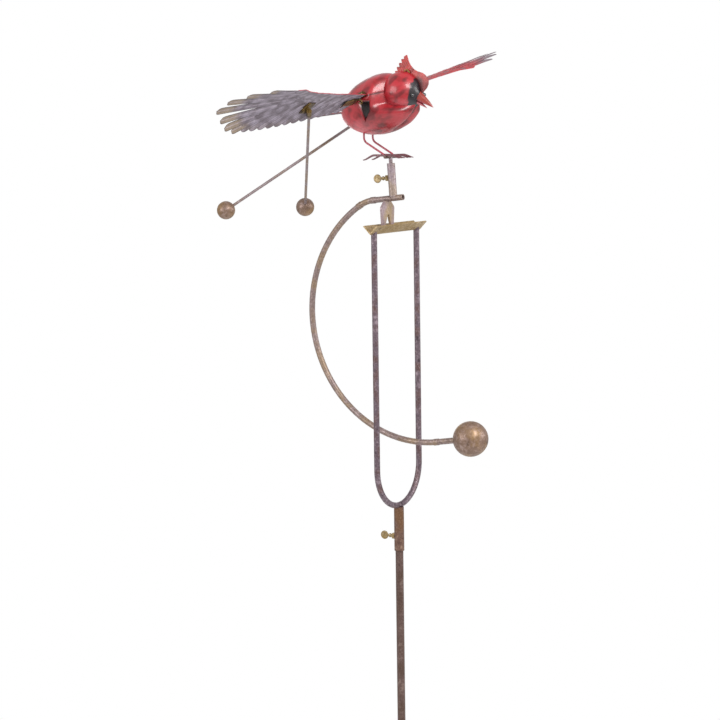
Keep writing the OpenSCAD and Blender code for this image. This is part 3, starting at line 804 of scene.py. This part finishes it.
        # Painted light: the underside of the head turns pink, the same light from below painted in.
        colour = blend(colour, rgb(self.bounce_light_pink), 0.55 * smooth(-6, -24, up))
        wobble = 1.6 * ripple(p, 9.0, 3.0)
        reach = np.hypot(lateral, (up - self.eye_level) * 0.88) + wobble
        mask = smooth(*self.mask_reach, reach) * smooth(4.0, 9.0, forward)
        colour = blend(colour, rgb(self.black), mask)
        centre = self.layout.at(0, *self.layout.head)
        return shell(p, centre, self.sheet, colour, rgb(self.lining))

    def build(self, palette: Palette) -> None:
        """Makes the four shells."""
        for side in Side:
            enamel = palette.get(Finish.BIRD)
            half = mesh_object(f"{side.word}_body_sheet", [self.body_half(side)], enamel)
            install(half, "bird", "bird_red", f"body_{side.word}_shell")
            head = mesh_object(f"{side.word}_head_sheet", [self.head_half(side)], enamel)
            install(head, "bird", "bird_red", f"head_{side.word}_shell")


@dataclass
class Crest:
    """Upright blade of sheet along the head's middle, toothed behind."""

    layout: Layout
    sheet: float = 1.4
    red: str = "#a8332f"
    brass: str = "#b98a2c"
    teeth: int = 5
    tooth_height: float = 6.1
    tooth_depth: float = 5.4
    first_tooth: float = 27.0

    def skin(self) -> Skin:
        """The blade.

        Its front edge and its rear edge are curves of height over the head's
        centre; the grid runs straight between them. The rear edge carries hooked
        teeth whose depth is a saw function of height.

        Returns:
            The closed sheet.
        """
        v = np.linspace(0, 1, 300)[:, None]
        u = np.linspace(0, 1, 40)[None, :]
        height = -2.0 + 59.5 * v
        knots = np.array([-2.0, 1, 6, 12, 17, 21.5, 26, 29.5, 32, 35, 39.5, 44, 50, 57.5])
        front_y = np.array(
            [34.5, 38.5, 43.5, 46.6, 46.8, 45.0, 41.5, 36.0, 27.0, 21.0, 16.5, 13.0, 10.3, 8.4]
        )
        rear_y = np.array(
            [20.0, 17, 10, 2, -4.5, -9.0, -11.0, -11.5, -11.0, -9.4, -6.8, -3.8, 0.4, 5.4]
        )
        front = np.interp(height, knots, front_y)
        rear = np.interp(height, knots, rear_y)
        phase = np.clip((height - self.first_tooth) / self.tooth_height, 0, self.teeth) % 1.0
        saw = phase**0.8 * smooth(1.0, 0.93, phase) * (height > self.first_tooth) * (height < 57.4)
        rear = rear - self.tooth_depth * saw * smooth(58.5, 54, height) + 1.8 * smooth(26, 28, height)
        forward = rear + (front - rear) * u
        groove = 0.28 * np.sin(forward * 0.9 - height * 0.5) * smooth(24, 34, height)
        lateral = groove + 0.5 * ripple(np.stack([forward, height + 0 * u, 0 * forward], -1), 30, 1)
        p = self.layout.at(lateral, self.layout.head[0] - forward, self.layout.head[1] + height + 0 * u)
        shade = smooth(0.0, 0.6, ripple(p, 15.0, 9.0))
        colour = blend(rgb(self.red), rgb("#84221f"), shade)
        colour = blend(colour, rgb("#6e1a1c"), 0.75 * smooth(24, 12, height) + 0 * u)
        colour = blend(colour, rgb("#3c0a10"), 0.8 * smooth(40, 33, forward) * smooth(26, 18, height))
        thinned = 0.75 + 0.25 * smooth(0, 0.05, u) * smooth(1, 0.95, u)
        return plate(p, self.sheet * thinned + 0 * v, colour, colour)

    def build(self, palette: Palette) -> None:
        """Makes the crest and the brass weld bead beside its teeth."""
        blade = mesh_object("crest_blade", [self.skin()], palette.get(Finish.CREST))
        install(blade, "bird", "bird_red", "crest")
        t = np.linspace(0, 1, 40)
        y = self.layout.head[0] - (4.5 + 9.5 * t)
        z = self.layout.head[1] + 31.8 + 3.6 * np.sin(np.pi * t) - 1.6 * t
        path = self.layout.at(-3.2, y, z)
        bead = wire(path, 1.0, np.array([1.0, 0, 0]), rgb(self.brass))
        weld = mesh_object("crest_weld_bead", [bead], palette.get(Finish.SCREW))
        install(weld, "bird", "hinge_brass")


@dataclass
class Beak:
    """Two folded-sheet mandibles with a ridge along each."""

    layout: Layout
    base: tuple[float, float] = (-54.0, 212.5)
    droop: float = 26.0
    hook: float = 2.2

    def mandible(
        self,
        length: float,
        width: float,
        rise: float,
        fall: float,
        drop: float,
        colour: Array,
        under: Array,
    ) -> Skin:
        """One mandible: a cone whose section is a soft diamond.

        A point at angle q lies width times cos q aside and rise or fall times
        sin q up or down, with cosine and sine raised to 1.2 so that a ridge
        shows. The section shrinks along a gently convex line to the tip, which
        hooks down.

        Args:
            length: from root to tip.
            width: half width at the root.
            rise: height of the ridge above the line.
            fall: depth below the line.
            drop: how far the root lies under the beak's line.
            colour: paint above.
            under: paint below.

        Returns:
            The closed skin.
        """
        s = np.linspace(0, 1, 40)[:, None]
        q = np.linspace(0, 2 * np.pi, 40, endpoint=False)[None, :]
        size = (1 - s) ** 0.82 * 0.99 + 0.012
        c, d = np.cos(q), np.sin(q)
        lateral = width * size * np.sign(c) * np.abs(c) ** 1.2
        up = np.where(d > 0, rise, fall) * size * np.sign(d) * np.abs(d) ** 1.2 - self.hook * s**3
        a = math.radians(self.droop)
        y = self.base[0] - s * length * math.cos(a) - up * math.sin(a)
        z = self.base[1] - drop - s * length * math.sin(a) + up * math.cos(a)
        p = self.layout.at(lateral, y, z)
        tip = self.layout.at(0, p[-1, :, 1].mean() - 0.3, p[-1, :, 2].mean() - self.layout.valley - 0.2)
        root = self.layout.at(0, self.base[0], self.base[1] - drop)
        paint = blend(np.broadcast_to(colour, p.shape), under, smooth(0.1, -0.5, d) + 0 * s)
        return closed_rings(p, root, tip, paint)

    def build(self, palette: Palette) -> None:
        """Makes both mandibles."""
        upper = self.mandible(37.5, 10.2, 12.2, 7.4, 0.0, rgb("#8e3026"), rgb("#a8404a"))
        piece = mesh_object("upper_beak_fold", [upper], palette.get(Finish.BEAK))
        install(piece, "bird", "beak_brown", "upper_beak")
        lower = self.mandible(25.0, 7.6, 3.0, 5.2, 6.6, rgb("#a8505a"), rgb("#bd6a72"))
        piece = mesh_object("lower_beak_fold", [lower], palette.get(Finish.BEAK))
        install(piece, "bird", "beak_brown", "lower_beak")


@dataclass
class Legs:
    """Bent wire legs and clawed feet on the perch bar."""

    layout: Layout
    out: float = 13.0
    wire_r: float = 1.55
    toe_r: float = 1.7
    hind_r: float = 1.75
    perch_top: float = 119.6
    leg_red: str = "#a24452"
    foot_brown: str = "#6b444a"

    def build(self, palette: Palette) -> None:
        """Makes both legs and both feet."""
        for side in Side:
            x = side.value * self.out
            bends = self.layout.at(x, np.array([33.5, 33.2, -3.5]), np.array([163.0, 142.0, 121.2]))
            leg = wire(rounded(bends, 6.0), self.wire_r, np.array([1.0, 0, 0]), rgb(self.leg_red))
            piece = mesh_object(f"{side.word}_leg_wire", [leg], palette.get(Finish.LEG))
            install(piece, "bird", "leg_red", f"{side.word}_leg")
            toes = [self.toe(side, spread) for spread in (-8.0, 0.0, 8.0)] + [self.hind(side)]
            foot = mesh_object(f"{side.word}_foot_wires", toes, palette.get(Finish.LEG))
            install(foot, "bird", "stem_bronze", f"{side.word}_foot")

    def toe(self, side: Side, spread: float) -> Skin:
        """One front toe: a wire that arches forward and thins to a claw."""
        s = np.linspace(0, 1, 36)
        x = side.value * (self.out + spread * s)
        z = self.perch_top - 3.4 * smooth(0.45, 1.0, s) + 0.7 * np.sin(np.pi * s)
        path = self.layout.at(x, -6.9 - 30.0 * s, z)
        radius = self.toe_r * np.clip(1.02 - 0.75 * s**5, 0.3, 1)
        return wire(path, radius, np.array([0.97, 0.22 * side.value, 0.05]), rgb(self.foot_brown), 14)

    def hind(self, side: Side) -> Skin:
        """The hind toe: it runs back and droops to a hooked claw."""
        s = np.linspace(0, 1, 40)
        z = self.perch_top - 7.2 * smooth(0.5, 1.0, s) + 0.4 * np.sin(np.pi * s)
        path = self.layout.at(side.value * self.out, -7.4 + 43.0 * s, z)
        radius = self.hind_r * np.clip(1.02 - 0.6 * s**5, 0.35, 1)
        return wire(path, radius, np.array([1.0, 0, 0]), rgb(self.foot_brown), 14)


@dataclass
class Tail:
    """Fan of five long sheet feathers that overlap at the root."""

    layout: Layout
    length: float = 119.0
    root: tuple[float, float] = (66.0, 188.4)
    droop: float = 6.0
    sheet: float = 0.9
    tip_start: float = 0.9
    red: str = "#9d222a"
    tip_grey: str = "#5f4a50"
    edge: str = "#4d1216"
    under_grey: str = "#6a5f69"

    def build(self, palette: Palette) -> None:
        """Makes the fan.

        Feather k starts aside of the middle by k times its spacing and spreads
        with its length. Its half width grows a little and rounds off at the tip,
        and a narrow ridge runs along its middle.
        """
        skins = []
        s = np.linspace(0, 1, 60)[:, None]
        w = np.linspace(-1, 1, 15)[None, :]
        for k in (-2, 2, -1, 1, 0):
            reach = self.length * (1.0 - 0.025 * abs(k))
            beyond = ((s - self.tip_start) / 0.1) ** 2 * (s > self.tip_start)
            half = (5.0 + 1.6 * smooth(0.1, 0.7, s)) * np.sqrt(np.clip(1 - beyond, 0.002, 1))
            x = k * (3.8 + 4.8 * s) + half * w
            y = self.root[0] + reach * s + 0 * w
            fall = math.tan(math.radians(self.droop)) * (y - 64)
            shaft = 0.35 * np.exp(-((w / 0.14) ** 2))
            z = self.root[1] - fall + 0.9 - 0.35 * abs(k) + shaft - 0.4 * w**2
            p = self.layout.at(x, y, z)
            colour = blend(rgb(self.red), rgb(self.tip_grey), 0.8 * smooth(0.7, 1.0, s) + 0 * w)
            colour = blend(colour, rgb(self.edge), 0.6 * smooth(0.75, 1.0, np.abs(w)) + 0 * s)
            below = blend(colour, rgb(self.under_grey), 0.8 + 0 * s + 0 * w)
            skins.append(plate(p, self.sheet, below, colour))
        piece = mesh_object("tail_fan", skins, palette.get(Finish.WING))
        install(piece, "bird", "bird_red", "tail")


# ---------------------------------------------------------------- wings


@dataclass
class Wing:
    """One wing: a scaled leading band over long separate feathers."""

    layout: Layout
    side: Side
    rise: float
    twist: float
    sweep: float
    lift: float
    roll_radius: float = 140.0
    apex: float = 6.0
    sheet: float = 0.45
    fingers: tuple[tuple[float, float], ...] = (
        (279.0, -32.0), (320.0, -17.0), (349.0, 0.0), (354.0, 21.0), (327.0, 40.0),
        (305.0, 53.5), (284.0, 58.0),
    )
    finger_roots: tuple[tuple[float, float], ...] = (
        (196.0, -31.0), (184.0, -25.0), (176.0, -18.0), (168.0, -12.0), (162.0, -7.0),
        (154.0, -4.0), (146.0, -3.0),
    )
    widths: tuple[float, ...] = (6.4, 6.6, 6.8, 7.0, 7.2, 7.2, 7.4)
    rear_feathers: int = 12
    rear_width: float = 10.8
    overlap: float = 0.34
    furrows: float = 12.5
    scale_pitch: float = 10.0
    scale_rows: float = 6.5
    clinch_drop: float = 1.7
    eye_r: float = 3.9
    eye_wire_r: float = 1.15

    def place(self, p: Array) -> Array:
        """Where points of the sheet are at rest.

        Args:
            p: outwards, rearwards and up from the hinge, in the sheet's own frame.

        Returns:
            The points in the object's frame, still in millimetres.
        """
        q = turn(p + np.array([0, 0, self.lift]), 2, -self.sweep)
        q = turn(turn(q, 0, -self.twist), 1, -self.rise)
        q = turn(q, 0, -self.layout.hinge_tilt)
        x = self.side.value * (q[..., 0] + self.layout.hinge_out)
        return self.layout.at(x, q[..., 1] + self.layout.hinge[0], q[..., 2] + self.layout.hinge[1])

    def camber(self, y: Array) -> Array:
        """Height of the rolled sheet: a circle's arc over its chord."""
        return np.sqrt(self.roll_radius**2 - (y - self.apex) ** 2) - self.roll_radius

    def leading(self, s: Array) -> Array:
        """Place of the leading edge along the wing."""
        out = [4, 36, 92, 148, 176, 190, 203, 214, 240]
        rearwards = [-19, -21, -22, -27, -31.5, -37, -41.5, -38, -34]
        return np.interp(s, out, rearwards)

    def feather(
        self, root: Array, tip: Array, half: float, bow: float, layer: float, greyness: float
    ) -> Skin:
        """One feather as a thin sheet.

        Its middle line bends sideways by bow times a half sine, its half width
        grows quickly from the root and rounds off at the tip, one edge lies a
        little over its neighbour, and a narrow ridge runs along the shaft.

        Args:
            root: start, outwards and rearwards.
            tip: end.
            half: half width.
            bow: sideways bend.
            layer: height above the sheet.
            greyness: share of grey towards the tip, 1 for the long feathers.

        Returns:
            The closed sheet.
        """
        u = np.linspace(0, 1, 64)[:, None]
        v = np.linspace(-1, 1, 17)[None, :]
        along = tip - root
        length = float(np.hypot(*along))
        along = along / length
        across = np.array([-along[1], along[0]])
        near = max(0.02, 1 - 1.25 * half / length)
        end = np.sqrt(np.clip(1 - (np.clip(u - near, 0, 1) / (1 - near)) ** 2.2, 0.0015, 1))
        width = half * (0.55 + 0.45 * smooth(0, 0.35, u)) * end
        offset = bow * np.sin(np.pi * u) + width * v
        s = root[0] + along[0] * length * u + across[0] * offset
        y = root[1] + along[1] * length * u + across[1] * offset
        shaft = 0.5 * np.exp(-((v / 0.13) ** 2)) * smooth(1.0, 0.85, u)
        barbs = 0.07 * np.sin((u * length * 0.9 - np.abs(v) * half * 1.1) * 2.2) * (1 - np.abs(v) ** 4)
        furrow = 0.16 * np.cos(v * self.furrows) * smooth(0.02, 0.2, u) * smooth(1.0, 0.9, u)
        z = self.camber(y) + layer - self.overlap * v + shaft + barbs + furrow - 0.25 * v**2
        tone = ripple(np.stack([s, y, 0 * s], -1), 24.0, 5.0)
        red = blend(rgb("#96212a"), rgb("#b8373f"), smooth(-0.3, 0.4, tone))
        # Grey towards the tips is the feathers' own paint; the random grey mottle over the whole top is
        # painted sheen, the pale surroundings reflected at a grazing angle.
        grey = np.clip(smooth(0.25, 0.85, u) * greyness + 0.22 * smooth(0.1, 0.5, tone), 0, 1)
        top = blend(red, rgb("#7d6d76"), grey)
        top = blend(top, rgb("#401418"), 0.65 * smooth(0.8, 1.0, -v) + 0 * u)
        under = blend(rgb("#6a5f69"), rgb("#9a909e"), smooth(-0.5, 0.5, tone))
        under = blend(under, rgb("#4a4047"), 0.45 * (0.5 + 0.5 * np.cos(v * self.furrows)) + 0 * u)
        under = blend(under, rgb("#8b7a66"), greyness * 0.9 * smooth(0.72, 0.86, u) + 0 * v)
        under = blend(under, rgb("#c0b4bf"), 0.6 * np.exp(-((v / 0.12) ** 2)) + 0 * u)
        under = blend(under, rgb("#3c3239"), 0.85 * smooth(0.70, 1.0, np.abs(v)) + 0 * u)
        grid = self.place(np.stack([s, y, z], -1))
        up_first = self.side is Side.LEFT
        return plate(grid, self.sheet, *((top, under) if up_first else (under, top)))

    def band(self) -> Skin:
        """The leading band: rows of small scales over the feathers' roots.

        Its depth follows the leading edge, its rear edge is scalloped, and each
        scale's height is a saw across the chord times a half sine along the wing.

        Returns:
            The closed sheet.
        """
        s = np.linspace(5.0, 214.0, 260)[:, None]
        v = np.linspace(0, 1, 44)[None, :]
        lead = self.leading(s)
        depth = np.interp(s, [5, 30, 90, 150, 190, 214], [30, 24, 20, 21, 20, 8])
        scallop = 2.2 * np.abs(np.sin(s * np.pi / 13.0))
        y = lead + (depth + scallop) * v
        row = (y - lead) / self.scale_rows + 0.5 * np.floor(s / self.scale_pitch)
        scale = (row % 1.0) * np.sqrt(np.abs(np.sin(s * np.pi / self.scale_pitch)))
        z = self.camber(y) + 0.12 * np.cos(s / 9.0) + 0.25 * scale
        thick = 1.15 + 0.35 * scale - 0.6 * smooth(0.12, 0.0, v) - 0.5 * smooth(0.85, 1.0, v)
        tone = ripple(np.stack([s + 0 * v, y, 0 * y], -1), 18.0, 2.0)
        top = blend(rgb("#a3262e"), rgb("#7a1a22"), smooth(0.0, 0.5, tone))
        # Painted sheen: grey mottle over the red top, the pale surroundings reflected at a grazing
        # angle.
        top = blend(top, rgb("#86707a"), 0.5 * smooth(0.15, 0.5, tone))
        under = blend(rgb("#6c616b"), rgb("#918793"), smooth(-0.3, 0.4, tone))
        under = blend(under, rgb("#b4404a"), smooth(0.075, 0.03, v) + 0 * s)
        under = blend(under, rgb("#5e525a"), 0.6 * smooth(0.75, 1.0, scale))
        p = self.place(np.stack([s + 0 * v, y, z], -1))
        up_first = self.side is Side.RIGHT
        return plate(p, thick, *((under, top) if up_first else (top, under)))

    def clinch(self, palette: Palette) -> None:
        """Makes the dark clinch plate under the root and its bent eye.

        The plate follows the camber just under the sheet with its outer end curled
        down by a square law; the eye is nearly a full turn of wire.
        """
        s = np.linspace(8.0, 40.0, 30)[:, None]
        v = np.linspace(-1, 1, 20)[None, :]
        y = 1.0 + (8.5 - 0.09 * (s - 8)) * v + 0.18 * (s - 8)
        z = self.camber(y) - self.clinch_drop - 2.4 * smooth(28, 40, s) ** 2 + 0 * v
        grid = self.place(np.stack([s + 0 * v, y, z], -1))
        tone = ripple(grid, 9.0, 2.0)
        colour = blend(rgb("#22160c"), rgb("#6b5130"), smooth(0.0, 0.6, tone))
        strip = plate(grid, 1.0, colour, colour)
        t = np.linspace(0.25, 2 * np.pi - 0.25, 60)
        ring = np.stack(
            [7.5 + self.eye_r * np.cos(t), -7.5 + 0.5 * t, -6.2 + self.eye_r * np.sin(t)], -1
        )
        across = np.array([0.0, 0.95, -0.3])
        eye = wire(self.place(ring), self.eye_wire_r, across, rgb("#8e7743"), 16)
        piece = mesh_object("right_wing_clinch", [strip, eye], palette.get(Finish.HINGE))
        install(piece, "right_wing_set", "hinge_brass")

    def build(self, palette: Palette) -> None:
        """Makes the wing as one piece of overlapping sheets.

        The long fingers have their own roots and tips. The rear feathers run from
        the wing's outer end (f is 0) to its root (f is 1), and every second
        feather lies a little higher than its neighbours.
        """
        skins = []
        for k, (tip, root) in enumerate(zip(self.fingers, self.finger_roots, strict=True)):
            skins.append(
                self.feather(np.array(root), np.array(tip), self.widths[k], 1.5, 0.05 * (k % 2), 1.0)
            )
        f = np.linspace(0, 1, self.rear_feathers)
        tip_s = 262.0 - 222.0 * f
        tip_y = 55.5 - 4.0 * f - 24.5 * f**1.6
        root_s = tip_s - 84.0 + 52.0 * f
        root_y = -6.0 - 5.0 * f
        for k in range(self.rear_feathers):
            root = np.array([max(root_s[k], 8.0), root_y[k]])
            tip = np.array([tip_s[k], tip_y[k]])
            greyness = 0.25 * (1 - f[k])
            skins.append(self.feather(root, tip, self.rear_width, 3.0, 0.05 * (k % 2), greyness))
        skins.append(self.band())
        if self.side is Side.RIGHT:
            self.clinch(palette)
        piece = mesh_object(f"{self.side.word}_wing_feathers", skins, palette.get(Finish.WING))
        install(piece, f"{self.side.word}_wing_set", "wing_paint", f"{self.side.word}_wing")


# ---------------------------------------------------------------- metalwork


@dataclass
class Thumbscrew:
    """Screw with a thread, a flared neck and a flat oval paddle."""

    node: str
    body: str
    tip: tuple[float, float, float]
    lean: float
    shank: float
    neck: float = 8.5
    pitch: float = 1.25
    thread_r: float = 2.38
    thread_depth: float = 0.10
    paddle_r: tuple[float, float] = (6.85, 6.9)
    paddle_half: float = 1.35
    brass: str = "#8c7651"

    def build(self, palette: Palette) -> None:
        """Makes the turned shank and the paddle.

        The shank's radius swings by the thread's depth once a pitch. The paddle
        is two dished faces whose half thickness falls to the rim by the root of
        one minus the square.
        """
        axis = np.array([0, math.cos(math.radians(self.lean)), -math.sin(math.radians(self.lean))])
        origin = np.array(self.tip)
        n = 160
        a = np.linspace(0, self.shank + self.neck, n)
        thread = self.thread_r + self.thread_depth * np.sin(a * 2 * np.pi / self.pitch)
        neck = np.interp(a - self.shank, [0, 1.2, 2.2, 4.5, 8.5], [2.4, 3.4, 3.4, 2.2, 1.7])
        radius = np.where(a < self.shank, thread, neck)
        radius[:3] *= (0.55, 0.8, 0.95)
        radius[-2:] *= (0.8, 0.4)
        shaft = turned(a, radius, origin, axis, rgb(self.brass), 28)
        centre = origin + axis * (self.shank + 7 + 5.5)
        up = np.cross(np.array([1.0, 0, 0]), axis)
        r = np.linspace(0.02, 1, 22)[:, None]
        t = np.linspace(0, 2 * np.pi, 49)[None, :]
        along, rise = self.paddle_r[0] * r * np.cos(t), self.paddle_r[1] * r * np.sin(t)
        rim = np.sqrt(np.clip(1 - (np.clip(r - 0.88, 0, 1) / 0.12) ** 2, 0.03, 1))
        half = self.paddle_half * (1 - 0.22 * (1 - r**2)) * rim
        disc = []
        for sign in (-1.0, 1.0):
            p = centre + along[..., None] * axis + rise[..., None] * up
            disc.append(p + (sign * half + 0 * t)[..., None] * np.array([1.0, 0, 0]))
        rings = np.concatenate([disc[0], disc[1][::-1]])[:, :-1]
        first, last = disc[0][0].mean(0), disc[1][0].mean(0)
        paddle = closed_rings(rings, first, last, rgb(self.brass))
        piece = mesh_object(f"{self.node}_turned", [shaft, paddle], palette.get(Finish.SCREW))
        install(piece, self.body, "golden_bronze", self.node)


@dataclass
class Metalwork:
    """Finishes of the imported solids, plus the eyes and both thumbscrews."""

    layout: Layout
    nodes: dict[str, bpy.types.Object]
    eye_r: float = 3.05
    eye_out: float = 33.4
    eye_turn: float = 33.0
    eye_drop: float = 8.0
    post_foot: tuple[float, float] = (-11.3, 57.6)
    post_lean: float = 3.9
    screw_height: float = 27.0
    screw_out: float = 3.3

    def finishes(self) -> dict[Finish, list[str]]:
        """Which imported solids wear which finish."""
        sides = ("right", "left")
        return {
            Finish.STAKE: [
                "ground_spike", "step_plate", "lower_stake", "stake_coupler", "upper_stake", "perch_bar",
            ],
            Finish.FRAME: ["u_frame"],
            Finish.SLEEVE: ["frame_sleeve"],
            Finish.GOLDEN: ["trough"],
            Finish.PLATE: ["pivot_plate"],
            Finish.SCREW: ["sleeve_nut", "post_nut"],
            Finish.ARM: ["rocker_arm"],
            Finish.BALL: ["counter_ball", *(f"{s}_wing_ball" for s in sides)],
            Finish.POST: ["bird_post", "bird_stem"],
            Finish.ROD: [f"{s}_wing_rod" for s in sides],
            Finish.HINGE: [
                f"{s}_{part}" for s in sides
                for part in ("hinge_bracket", "hinge_pin", "wing_knuckle", "rod_bracket", "wing_rivets")
            ],
        }

    def dress(self, palette: Palette) -> None:
        """Puts each finish on its solids."""
        for finish, names in self.finishes().items():
            for name in names:
                slots = self.nodes[name].data.materials
                slots.clear()
                slots.append(palette.get(finish))
                LOG.info("%s wears %s", name, finish.value.name)

    def eyes(self, palette: Palette) -> None:
        """Makes the two bead eyes: balls sunk a little into the head."""
        for side in Side:
            away = turn(turn(np.array([0, -1.0, 0]), 0, self.eye_drop), 2, side.value * self.eye_turn)
            centre = self.layout.at(0, *self.layout.head) + away * self.eye_out
            t = np.linspace(0.06, np.pi - 0.06, 24)
            along, radius = -self.eye_r * np.cos(t), self.eye_r * np.sin(t)
            bead = turned(along, radius, centre, away, rgb("#0a0a0c"), 32)
            piece = mesh_object(f"{side.word}_eye_bead", [bead], palette.get(Finish.EYE))
            install(piece, "bird", "eye_black", f"{side.word}_eye")

    def screws(self, palette: Palette) -> None:
        """Makes both thumbscrews."""
        lean = math.radians(self.post_lean)
        post = self.layout.at(0, *self.post_foot)
        up = np.array([0, math.sin(lean), math.cos(lean)])
        back = np.array([0, math.cos(lean), -math.sin(lean)])
        tip = post + self.screw_height * up + self.screw_out * back
        Thumbscrew("post_thumbscrew", "post_screw", tuple(tip), self.post_lean, 11.0).build(palette)
        Thumbscrew("sleeve_thumbscrew", "frame_screw", (0.0, 6.65, 717.0), 0.0, 8.5).build(palette)


# ---------------------------------------------------------------- studio


@dataclass
class Studio:
    """Floor, soft lights and the camera."""

    position: tuple[float, float, float] = (-3.379, -2.0825, 1.4585)
    heading: tuple[float, float] = (0.8434, 0.5373)
    pitch: float = 6.54
    roll: float = 0.82
    lens: float = 125.0
    floor_z: float = -0.2405
    floor_r: float = 2.2
    surround: float = 0.62
    aim: tuple[float, float, float] = (0.0, 0.0, 1.35)

    def build(self) -> None:
        """Makes the floor, the world, four soft boxes and the camera."""
        bpy.context.scene.view_settings.view_transform = "Standard"
        self.floor()
        self.world()
        self.light("key_box", (-1.2, -2.6, 3.4), 1.6, 120.0)
        self.light("side_box", (-3.4, 1.6, 2.2), 2.2, 75.0)
        self.light("front_box", (1.2, -2.6, 2.0), 1.4, 36.0)
        self.light("back_box", (2.6, 2.4, 1.2), 1.8, 14.0)
        self.camera()

    def floor(self) -> None:
        """A wide pale disc just under the spike's tip."""
        t = np.linspace(0, 2 * np.pi, 128, endpoint=False)
        height = np.full_like(t, self.floor_z)
        points = np.stack([self.floor_r * np.cos(t), self.floor_r * np.sin(t), height], -1)
        mesh = bpy.data.meshes.new("studio_floor")
        mesh.from_pydata(points.tolist(), [], [list(range(128))])
        material, _, shader = new_material("pale_studio_floor")
        shader.inputs["Base Color"].default_value = linear("#f4f4f4")
        shader.inputs["Roughness"].default_value = 0.9
        mesh.materials.append(material)
        floor = bpy.data.objects.new("studio_floor", mesh)
        bpy.context.scene.collection.objects.link(floor)

    def world(self) -> None:
        """Even surroundings: white to the camera, weaker as light."""
        world = bpy.data.worlds.new("white_studio")
        world.use_nodes = True
        tree = world.node_tree
        background = tree.nodes["Background"]
        background.inputs["Color"].default_value = (1.0, 1.0, 1.0, 1.0)
        seen = add_node(tree, "ShaderNodeLightPath").outputs["Is Camera Ray"]
        power = add_node(
            tree, "ShaderNodeMapRange", {"Value": seen, "To Min": self.surround, "To Max": 1.0}
        )
        tree.links.new(power.outputs["Result"], background.inputs["Strength"])
        bpy.context.scene.world = world

    def light(self, name: str, place: tuple[float, float, float], size: float, power: float) -> None:
        """One square soft box that looks at the bird."""
        lamp = bpy.data.lights.new(name, "AREA")
        lamp.size = size
        lamp.energy = power
        box = bpy.data.objects.new(name, lamp)
        box.location = place
        aim = Vector(self.aim) - Vector(place)
        box.rotation_euler = aim.to_track_quat("-Z", "Y").to_euler()
        bpy.context.scene.collection.objects.link(box)

    def camera(self) -> None:
        """A long lens at the bird's height, looking a little down."""
        pitch, roll = math.radians(self.pitch), math.radians(self.roll)
        hx, hy = self.heading
        forward = Vector((hx * math.cos(pitch), hy * math.cos(pitch), -math.sin(pitch))).normalized()
        right = Vector((hy, -hx, 0)).normalized()
        up = right.cross(forward)
        turned_right = right * math.cos(roll) - up * math.sin(roll)
        turned_up = right * math.sin(roll) + up * math.cos(roll)
        data = bpy.data.cameras.new("studio_camera")
        data.lens = self.lens
        data.sensor_width = 36.0
        data.clip_end = 200.0
        camera = bpy.data.objects.new("studio_camera", data)
        basis = Matrix((turned_right, turned_up, -forward)).transposed()
        camera.matrix_world = Matrix.Translation(Vector(self.position)) @ basis.to_4x4()
        bpy.context.scene.collection.objects.link(camera)
        bpy.context.scene.camera = camera


def main() -> None:
    """Builds every piece in order."""
    logging.basicConfig(level=logging.INFO, format="%(message)s")
    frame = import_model()
    layout, palette = Layout(), Palette()
    Studio().build()
    metal = Metalwork(layout, frame["nodes"])
    metal.dress(palette)
    metal.eyes(palette)
    metal.screws(palette)
    BirdBody(layout).build(palette)
    Crest(layout).build(palette)
    Beak(layout).build(palette)
    Legs(layout).build(palette)
    Tail(layout).build(palette)
    Wing(layout, Side.RIGHT, 0.5, 12.0, 0.0, -6.3).build(palette)
    Wing(layout, Side.LEFT, 10.5, -12.0, 4.5, 6.3).build(palette)
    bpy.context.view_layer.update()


if __name__ == "__main__":
    main()
